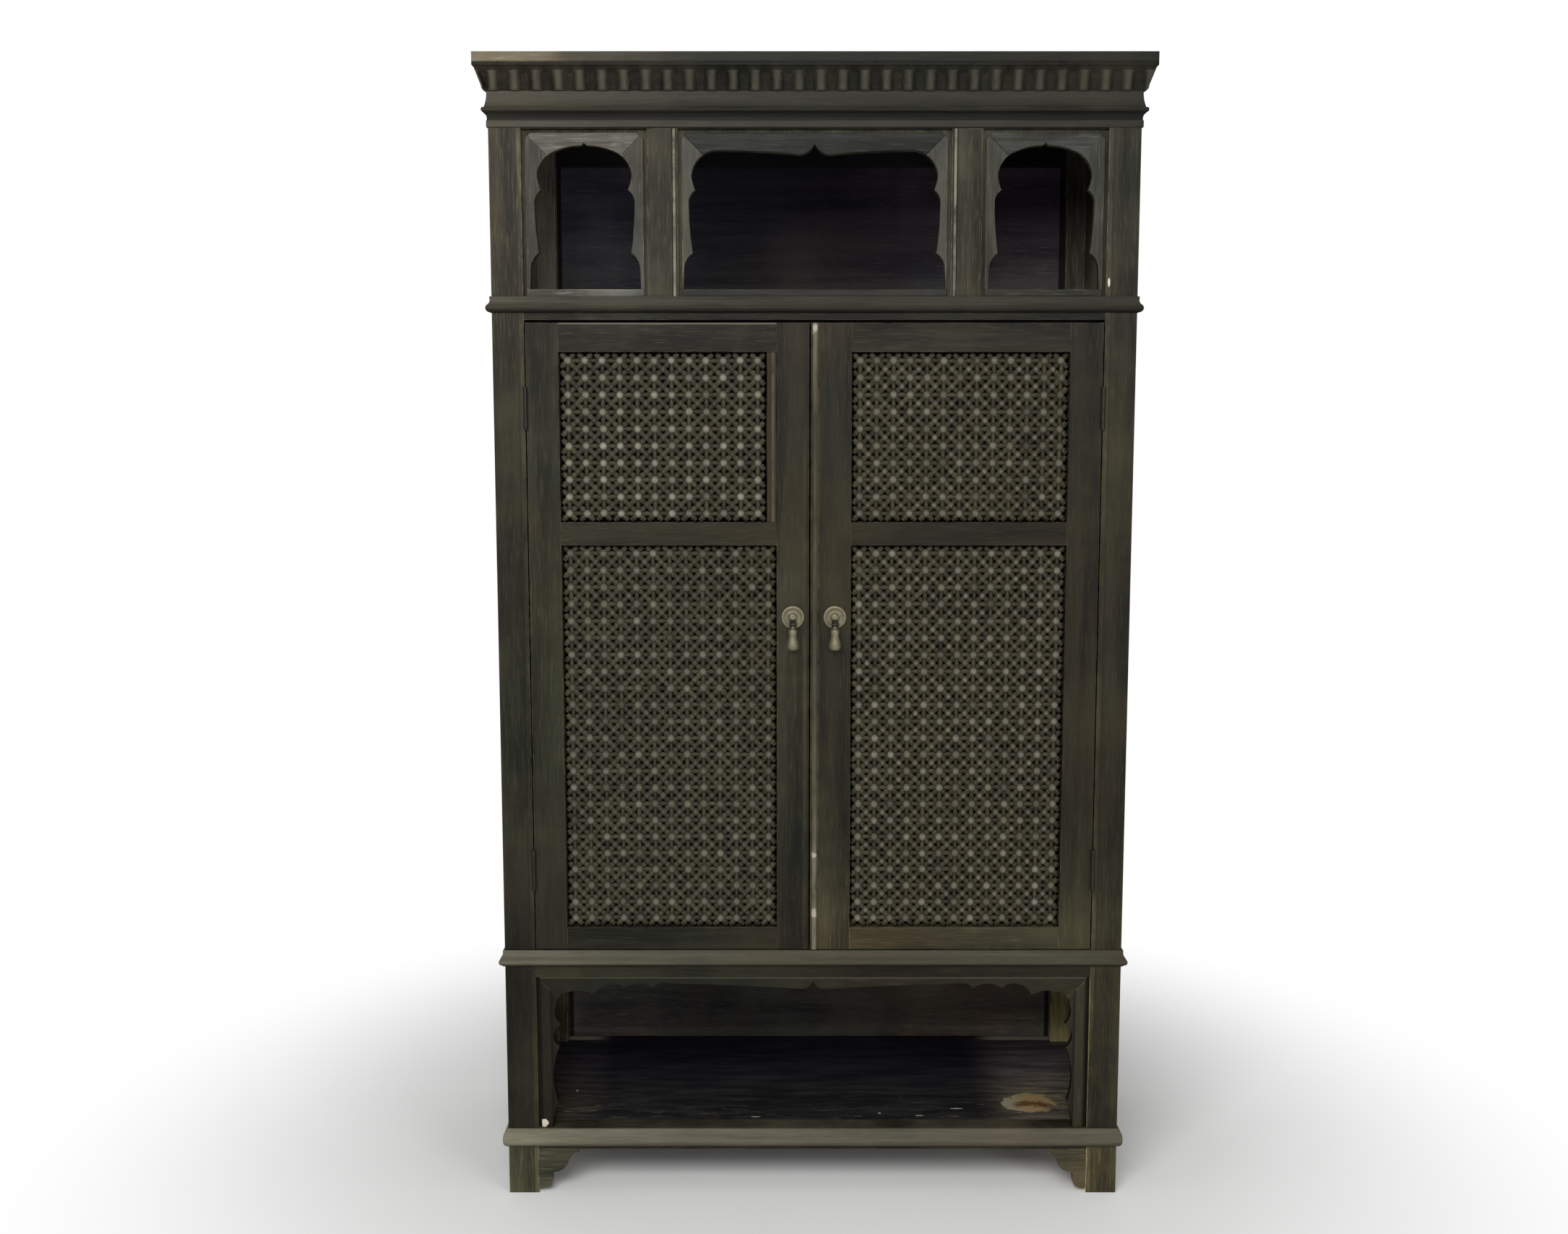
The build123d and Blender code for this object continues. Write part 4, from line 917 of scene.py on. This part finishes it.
def arch_opening(clear, crown, lobe, wide):
    """Half of an arch's opening, from its foot at the sill to the tip on the centre line."""
    top = clear - crown
    h = clear - LOBE_DROP
    cusp, upper = 0.32 * h, h - CUSP_DROP
    between = upper - cusp
    rise = top - h
    steps = [
        (lobe + 12.5, 0.6 * cusp),
        ((lobe + 8.1, 0.83 * cusp), (lobe - 1.5, cusp)),
        ((lobe + 2.7, cusp + 0.37 * between), (lobe + 4.5, cusp + 0.76 * between)),
        ((lobe + 1.35, cusp + 0.92 * between), (lobe - 6.0, upper)),
        ((lobe - 1.8, upper + 0.6 * CUSP_DROP), (lobe, h)),
    ]
    if wide:
        steps += [
            ((lobe - 10.6, h + 0.64 * rise), (lobe - 38.0, top)),
            ((0.5 * lobe, top - 1.5), (32.0, top - 6.0)),
            ((12.2, top - 3.6), (0, top + 10.0)),
        ]
    else:
        steps += [
            ((0.87 * lobe, h + 0.52 * rise), (0.58 * lobe, h + 0.82 * rise)),
            ((0.35 * lobe, h + 0.93 * rise), (7.0, top - 1.4)),
            ((2.8, top), (0, top + 4.1)),
        ]
    return trace((lobe + 14.0, 0), steps, 1.6)


# the crown is the wood left above an opening, the lobe half its width at the widest
for side, crown, lobe, wide in (
    ("left", 25.0, 77.0, False), ("centre", 34.0, 201.0, True), ("right", 25.0, 77.0, False),
):
    node = f"niche_arch_{side}"
    lo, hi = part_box(node)
    tall = (hi.z - lo.z) / MM
    scalloped_frame(node, (lo.x + hi.x) / 2, (hi.x - lo.x) / 2 / MM, tall,
                    arch_opening(tall - SILL, crown, lobe, wide), SILL,
                    [arch_x, arch_z, arch_z, arch_x], CHANNEL_WIDE, CORNER_CLIP)

APRON_MARGIN = 32.0
APRON_TOP = 12.0


def apron_opening(half, tall):
    """Half of the lower opening, from the foot of its jamb to the tip on the centre line."""
    edge = half - APRON_MARGIN
    top = tall - APRON_TOP
    return trace((edge + 6.0, 0), [
        ((edge + 4.0, 0.08 * tall), (edge - 3.0, 0.17 * tall)),
        ((edge + 4.0, 0.36 * tall), (edge - 6.0, 0.53 * tall)),
        ((edge + 3.0, 0.61 * tall), (edge - 9.0, 0.68 * tall)),
        ((edge, top - 56.0), (edge - 2.0, top - 38.0)),
        ((edge - 8.3, top - 22.8), (edge - 24.2, top - 16.0)),
        ((edge - 46.2, top - 14.0), (edge - 69.0, top - 21.0)),
        ((edge - 94.2, top - 1.0), (edge - 119.5, top - 9.0)),
        ((edge - 144.8, top - 1.0), (edge - 170.0, top - 9.0)),
        ((edge - 176.0, top - 3.0), (edge - 188.0, top)),
        ((0.3 * half, top - 4.0), (22.0, top - 10.0)),
        ((8.0, top - 7.0), (0, top + 4.0)),
    ], 2.0)


lo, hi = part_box("lower_arch")
tall = (hi.z - lo.z) / MM
scalloped_frame("lower_arch", 0.0, hi.x / MM, tall, apron_opening(hi.x / MM, tall), 0.0,
                [apron_x, jamb_z, jamb_z])


# ---------------------------------------------------------------- bracket feet

BRACKET = 18.0
BRACKET_EASED = 1.6
bracket = trace((0, 8), [
    (18.9, 11.2), ((23.1, 22), (22, 32.8)), (27, 36.8), ((44.1, 44), (52.2, 62)), (57, 66),
    ((62, 72), (70, 74)), (70, 80), (0, 80),
], 1.5)
mirrored = [(-x, y) for x, y in bracket]


def foot_board(name, outline, x, y, facing, node):
    flat_board(name, [outline], x, y, 0.0, BRACKET, [bracket_wood], "carcass", "ebonised_wood",
               BRACKET_EASED, facing, (node,))


for side, sign in SIDES.items():
    node = f"foot_bracket_front_{side}"
    foot_board(f"{node}_board", bracket if sign < 0 else mirrored, sign * x_post, y_front, "y", node)
    outer = -half_body if sign < 0 else half_body - BRACKET * MM
    for place, outline, y in (("near", bracket, y_post_end), ("far", mirrored, y_post_back)):
        foot_board(f"foot_bracket_{side}_{place}", outline, outer, y, "x", f"foot_brackets_{side}")


# ---------------------------------------------------------------- turned lattice

LATTICE_SEAT = 4.0 * MM
LATTICE_PITCH = 28.2 * MM
BALL = 7.8
KNOT = 6.2
# from a ball's middle (0) to a knot's (1), and to the next ball's (2): (place, radius in mm)
SPINDLE = [
    (0.28, 4.5), (0.36, 4.5), (0.41, 5.2), (0.46, 5.7), (0.52, 5.7), (0.58, 5.3), (0.64, 4.7),
    (0.69, 4.5), (0.78, 4.7),
]
LINK = [(0.4, 3.1), (0.62, 3.1), (0.78, 4.0), (1.0, 4.4), (1.22, 4.0), (1.38, 3.1), (1.6, 3.1)]
# the panels in the order of their seeds: how far their balls, and the knots between, are rubbed and
# carry a painted highlight
FIRST_SEED = 40
WORN_AND_LIT = {
    ("left", "upper"): (0.95, 0.12), ("left", "lower"): (0.5, 0.22),
    ("right", "upper"): (0.58, 0.55), ("right", "lower"): (0.72, 0.6),
}
# the upper left panel is filled up by a plain lath
LATH_WIDE = 17.0
LATH_THICK = 14.0


def ball_profile(radius, rings, squash=1.0):
    turns = [math.pi * k / rings for k in range(rings + 1)]
    return [(-radius * squash * math.cos(t), max(radius * math.sin(t), 1e-5)) for t in turns]


class Cluster:
    """Many small turned shapes gathered into one mesh."""

    def __init__(self, y):
        self.y = y
        self.points, self.faces, self.polish = [], [], []
        self.total = 0

    def put(self, shape, centre, angle, share):
        """Adds a shape turned in the panel's plane, rubbed and given a painted highlight by share
        where it stands out.
        """
        points, faces = shape
        c, s = math.cos(angle), math.sin(angle)
        moved = np.column_stack([
            centre[0] + points[:, 0] * c - points[:, 1] * s,
            centre[1] + points[:, 2],
            centre[2] + points[:, 0] * s + points[:, 1] * c,
        ])
        depth = (self.y - moved[:, 1]) / (BALL * MM)
        self.points.append(moved)
        self.polish.append(np.clip((depth - 0.35) / 0.5, 0, 1) * share)
        self.faces.extend([tuple(v + self.total for v in f) for f in faces])
        self.total += len(points)


def turned(profile, flats):
    return spun(profile, flats), skin(len(profile), flats, capped=False)


def lattice(node, body, seed, ball_wear_and_highlight, knot_wear_and_highlight, lath):
    """One panel: a ball in each mesh of the net, knots at its corners, turned spindles between."""
    lo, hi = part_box(node)
    stiles = sorted((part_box(f"{body}_{place}_stile") for place in ("hinge", "meeting")),
                    key=lambda box: box[0].x)
    x0, x1 = stiles[0][1].x, stiles[1][0].x - lath * MM
    z0, z1 = lo.z + LATTICE_SEAT, hi.z - LATTICE_SEAT
    columns = round((x1 - x0) / LATTICE_PITCH)
    rows = round((z1 - z0) / LATTICE_PITCH)
    dx, dz = (x1 - x0) / columns, (z1 - z0) / rows
    y = (lo.y + hi.y) / 2
    draw = random.Random(seed)
    reach = math.hypot(dx, dz) / 2
    ball = turned(ball_profile(BALL * MM, 6, 0.95), 10)
    knot = turned(ball_profile(KNOT * MM, 5), 8)
    spindle = turned([(t * reach, r * MM) for t, r in SPINDLE], 7)
    link = turned([(t * dx / 2, r * MM) for t, r in LINK], 6)
    panel = Cluster(y)
    for i in range(columns + 1):
        for k in range(rows + 1):
            corner = (x0 + i * dx, y, z0 + k * dz)
            if 0 < i < columns and 0 < k < rows:
                panel.put(knot, corner, draw.uniform(0, 3), draw.uniform(0.5, 1.3) * knot_wear_and_highlight)
            if i == columns or k == rows:
                continue
            centre = (
                corner[0] + dx / 2 + draw.gauss(0, 0.25) * MM, y + draw.gauss(0, 0.2) * MM,
                corner[2] + dz / 2 + draw.gauss(0, 0.25) * MM,
            )
            share = min(1.0, max(0.3, draw.gauss(0.75, 0.2))) * ball_wear_and_highlight
            panel.put(ball, centre, draw.uniform(-0.3, 0.3), share)
            for sx in (-1, 1):
                for sz in (-1, 1):
                    panel.put(spindle, centre, math.atan2(sz * dz, sx * dx), share * 0.12)
            if i < columns - 1:
                panel.put(link, centre, 0.0, share * 0.2)
            if k < rows - 1:
                panel.put(link, centre, math.pi / 2, share * 0.2)
    add_piece(f"{node}_turned", np.vstack(panel.points), panel.faces, lattice_wood, body,
              "lattice_wood", (node,), 60.0, closed=False, polish=np.concatenate(panel.polish))


for number, ((door, level), rubs) in enumerate(WORN_AND_LIT.items()):
    lath = LATH_WIDE if (door, level) == ("left", "upper") else 0.0
    lattice(f"{door}_door_lattice_{level}", f"{door}_door", FIRST_SEED + number, *rubs, lath)


def repair_lath():
    """The plain lath that fills out the upper left panel, its left edge a little uneven."""
    lo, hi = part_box("left_door_lattice_upper")
    right = low("left_door_meeting_stile").x
    tall = (hi.z - lo.z - 2 * LATTICE_SEAT) / MM
    shares = [k / 25 for k in range(26)]
    outline = [(LATH_WIDE, tall * t) for t in shares]
    outline += [(0.5 * math.sin(9.0 * t) + 0.4, tall * t) for t in reversed(shares)]
    flat_board("left_door_repair_lath", [outline], right - LATH_WIDE * MM, y_front + 1.2 * MM,
               lo.z + LATTICE_SEAT, LATH_THICK, [lath_wood], "left_door", "lattice_wood", 0.9)


repair_lath()


# ---------------------------------------------------------------- meeting bead

BEAD_EDGE = 0.8
BEAD_STATIONS = 160


def meeting_bead():
    """The rounded bead on the right door, proud of both doors."""
    lo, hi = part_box("right_door_meeting_bead")
    wide = (hi.x - lo.x) / MM
    nose = (y_front - lo.y) / MM
    deep = (hi.y - y_front) / MM
    outline = trace((0, -deep), [
        (0, 0), (0.8, BEAD_EDGE), (1.6, BEAD_EDGE), ((wide / 2, nose), (wide - 1.6, BEAD_EDGE)),
        (wide - 0.8, BEAD_EDGE), (wide, 0), (wide, -deep),
    ], 0.7)
    points = []
    for i in range(BEAD_STATIONS + 1):
        z = lo.z + (hi.z - lo.z) * i / BEAD_STATIONS
        for x, out in outline:
            worn = max(0.0, noise.noise(Vector((z * 14.0, x * 0.12, 3.1)))) * 0.9
            out = out - worn * max(0.0, out - BEAD_EDGE) / nose
            points.append((lo.x + x * MM, y_front - out * MM, z))
    add_piece("right_door_bead_round", points, skin(BEAD_STATIONS + 1, len(outline)), bead_wood,
              "right_door", "bead_wood", ("right_door_meeting_bead",))


meeting_bead()


# ---------------------------------------------------------------- pulls

# profiles are (radius, place) in mm: the plate's outwards, the drop's up from its pin
PLATE = trace((19.0, 0.0), [
    ((19.4, 2.0), (17.6, 3.6)), ((16.2, 4.0), (15.0, 3.2)), ((12.0, 1.7), (7.6, 2.2)), (7.0, 2.6),
    ((5.2, 5.3), (0.01, 5.5)),
], 0.5)
DROP = [
    (0.4, -44.0), (3.9, -43.7), (7.0, -42.7), (9.2, -40.8), (10.1, -38.2), (10.1, -35.0),
    (9.6, -31.0), (8.7, -27.0), (7.8, -23.5), (7.1, -20.5), (6.8, -17.5), (7.0, -15.0),
    (7.3, -12.5), (7.1, -9.8), (6.0, -8.0), (4.0, -6.8), (2.9, -5.0), (2.9, -3.0),
]
PIN = [
    (0.01, -6.2), (1.9, -6.2), (2.3, -5.6), (1.5, -5.2), (1.5, 5.2), (2.3, 5.6), (1.9, 6.2),
    (0.01, 6.2),
]
LUG = trace((0, 0), [(0, -3.0), ((15.0, -3.2), (18.0, 0.0)), ((15.0, 3.2), (0, 3.0))], 0.5)
LUG_REACH = 17.6
LUG_APART = 4.2
LUG_HALF = 1.0
PLATE_RIM = 19.5
PIN_DROP = 11.0
PIN_REACH = 15.0
EYE_RING = 2.58
EYE_WIRE = 1.0
EYE_WIDE = 2.4


def lathe(name, profile, centre, axis, material, body, rub_and_highlight, flats=56, sharp=45.0, replaced=()):
    """A turned piece along x, y (outwards, towards the front) or z; rub_and_highlight gives how far it
    is rubbed.
    """
    rings = spun([(place, radius) for radius, place in profile], flats) * MM
    along, c, s = rings.T
    points = {"x": (along, c, s), "y": (c, -along, s), "z": (c, s, along)}[axis]
    polish = [rub_and_highlight(radius, place) for radius, place in profile for _ in range(flats)]
    add_piece(name, np.column_stack(points) + centre, skin(len(profile), flats), material, body,
              "pull_brass", replaced, sharp, polish=polish)


def pull_lug(name, centre, body):
    """One of the two ears that hold the pin."""
    x, z = centre
    points = [
        (x + side * MM, y_front - min(out, LUG_REACH) * MM, z + up * MM)
        for side in (-LUG_HALF, LUG_HALF) for out, up in LUG
    ]
    add_piece(name, points, skin(2, len(LUG)), black_brass, body, "pull_brass",
              polish=[0.1] * len(points))


def pull_eye(name, centre, body, around=28, flats=12):
    """The drop's ring, round the pin."""
    points = []
    for i in range(around):
        a = 2 * math.pi * i / around
        for k in range(flats):
            b = 2 * math.pi * k / flats
            out = (EYE_RING + EYE_WIRE * math.cos(b)) * MM
            points.append((centre[0] + EYE_WIDE * EYE_WIRE * math.sin(b) * MM,
                           centre[1] + out * math.cos(a), centre[2] + out * math.sin(a)))
    add_piece(name, points, skin(around, flats, capped=False, looped=True), black_brass, body,
              "pull_brass", polish=[0.3] * len(points))


def plate_rub(radius, place):
    return 0.7 if radius > 12.5 else 0.65 if radius < 6.5 else 0.5


def drop_rub(radius, place):
    return 0.6 if place < -26 else 0.75 if -16 < place < -8 else 0.5


for side in SIDES:
    door, pull = f"{side}_door", f"{side}_pull"
    lo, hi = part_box(f"{pull}_drop")
    x = (lo.x + hi.x) / 2
    z = high(f"{pull}_plate").z - PLATE_RIM * MM
    pivot = (x, y_front - PIN_REACH * MM, z - PIN_DROP * MM)
    lathe(f"{pull}_rosette", PLATE, (x, y_front, z), "y", brass, door, plate_rub,
          replaced=(f"{pull}_plate",))
    for letter, sign in (("a", -1), ("b", 1)):
        pull_lug(f"{pull}_lug_{letter}", (x + sign * LUG_APART * MM, pivot[2]), door)
    lathe(f"{pull}_pin", PIN, pivot, "x", black_brass, door, lambda radius, place: 0.6, 20, 32.0)
    lathe(f"{pull}_bob", DROP, pivot, "z", brass, pull, drop_rub, replaced=(f"{pull}_drop",))
    pull_eye(f"{pull}_eye", pivot, pull)


# ---------------------------------------------------------------- CAD nodes that stay

kept = {
    wood_left: ["post_front_left", "post_back_left", "side_panels_left"],
    wood_right: ["post_front_right", "post_back_right", "side_panels_right"],
    mullion_wood: ["niche_mullion_left", "niche_mullion_right"],
    left_door_z: ["left_door_hinge_stile"],
    left_edge_z: ["left_door_meeting_stile"],
    left_door_x: ["left_door_rails"],
    right_door_z: ["right_door_hinge_stile", "right_door_meeting_stile"],
    right_door_x: ["right_door_rails"],
    wood_x: ["front_top_rail", "front_waist_rail", "front_lower_rail", "front_base_rail"],
    slab_wood: ["top_slab"],
    wood_y: ["side_rails_left", "side_rails_right"],
    back_wood: ["back_panels"],
    inside_x: ["back_rails", "cupboard_floor", "niche_floor", "shelves", "door_stops"],
    inside_y: ["shelf_cleats"],
    floor_wood: ["compartment_floor"],
    black_brass: ["left_hinge_door_leaves", "right_hinge_door_leaves", "hinge_frame_leaves"],
}
for material, names in kept.items():
    for name in names:
        for slot in nodes[name].material_slots:
            slot.material = material


# ---------------------------------------------------------------- floor, light and camera

FLOOR_REACH = 14.0
# from and to how far out the floor turns plain white
SHADOW_KEPT = (0.55, 1.5)


def build_stage():
    """Pale floor that keeps the cabinet's shadow near it and is plain white further out."""
    g = Surface("pale_floor")
    colour = g.mix(g.step(g.noise(g.place, 1.6, 3.0, 0.5), 0.3, 0.7),
                   srgb(238, 238, 237), srgb(242, 242, 241))
    lit = g.read("ShaderNodeBsdfPrincipled", 0, {
        "Base Color": colour, "Roughness": 0.9, "Specular IOR Level": 0.1,
    })
    plain_white = g.read("ShaderNodeEmission", 0, {"Color": grey(1.0), "Strength": 1.0})
    away = g.read("ShaderNodeVectorMath", "Value", {0: g.place}, operation="LENGTH")
    seen = g.read("ShaderNodeLightPath", "Is Camera Ray")
    share = g.step(away, *SHADOW_KEPT) * seen
    blend = g.read("ShaderNodeMixShader", 0, {0: share, 1: lit, 2: plain_white})
    g.add("ShaderNodeOutputMaterial", {"Surface": blend})
    mesh = bpy.data.meshes.new("floor")
    corners = [
        (sx * FLOOR_REACH, sy * FLOOR_REACH, 0) for sx, sy in ((-1, -1), (1, -1), (1, 1), (-1, 1))
    ]
    mesh.from_pydata(corners, [], [(0, 1, 2, 3)])
    mesh.materials.append(g.owner)
    floor = in_scene("floor", mesh)


def area_light(name, place, target, width, height, power):
    data = bpy.data.lights.new(name, "AREA")
    data.shape = "RECTANGLE"
    data.size, data.size_y = width, height
    data.energy = power
    light = in_scene(name, data)
    light.location = place
    light.rotation_euler = (Vector(target) - Vector(place)).to_track_quat("-Z", "Y").to_euler()


def build_world():
    """White where the camera looks past the floor, and a softer even light on the cabinet."""
    world = bpy.data.worlds.new("studio")
    bpy.context.scene.world = world
    g = Graph(world)
    straight = g.read("ShaderNodeLightPath", "Is Camera Ray").larger(
        g.read("ShaderNodeLightPath", "Is Transmission Ray"))
    strength = g.read("ShaderNodeMapRange", 0, {"Value": straight, "To Min": 0.4, "To Max": 1.0})
    back = g.read("ShaderNodeBackground", 0, {"Color": grey(1.0), "Strength": strength})
    g.add("ShaderNodeOutputWorld", {"Surface": back})


build_stage()
area_light("key_softbox", (-0.8, -3.4, 2.7), (0, -0.2, 0.95), 2.2, 1.4, 105.0)
area_light("fill_softbox", (1.9, -3.0, 1.3), (0, -0.2, 0.8), 1.4, 1.6, 28.0)
build_world()

CAMERA_PLACE = (-0.050, -2.999, 1.353)
CAMERA_TILT = 6.91
camera_data = bpy.data.cameras.new("camera")
camera_data.lens = 38.4
camera_data.sensor_width = 36.0
camera_data.sensor_fit = "HORIZONTAL"
camera = in_scene("camera", camera_data)
camera.location = CAMERA_PLACE
camera.rotation_euler = (math.radians(90.0 - CAMERA_TILT), 0, 0)
bpy.context.scene.camera = camera

bpy.context.scene.view_settings.view_transform = "Standard"
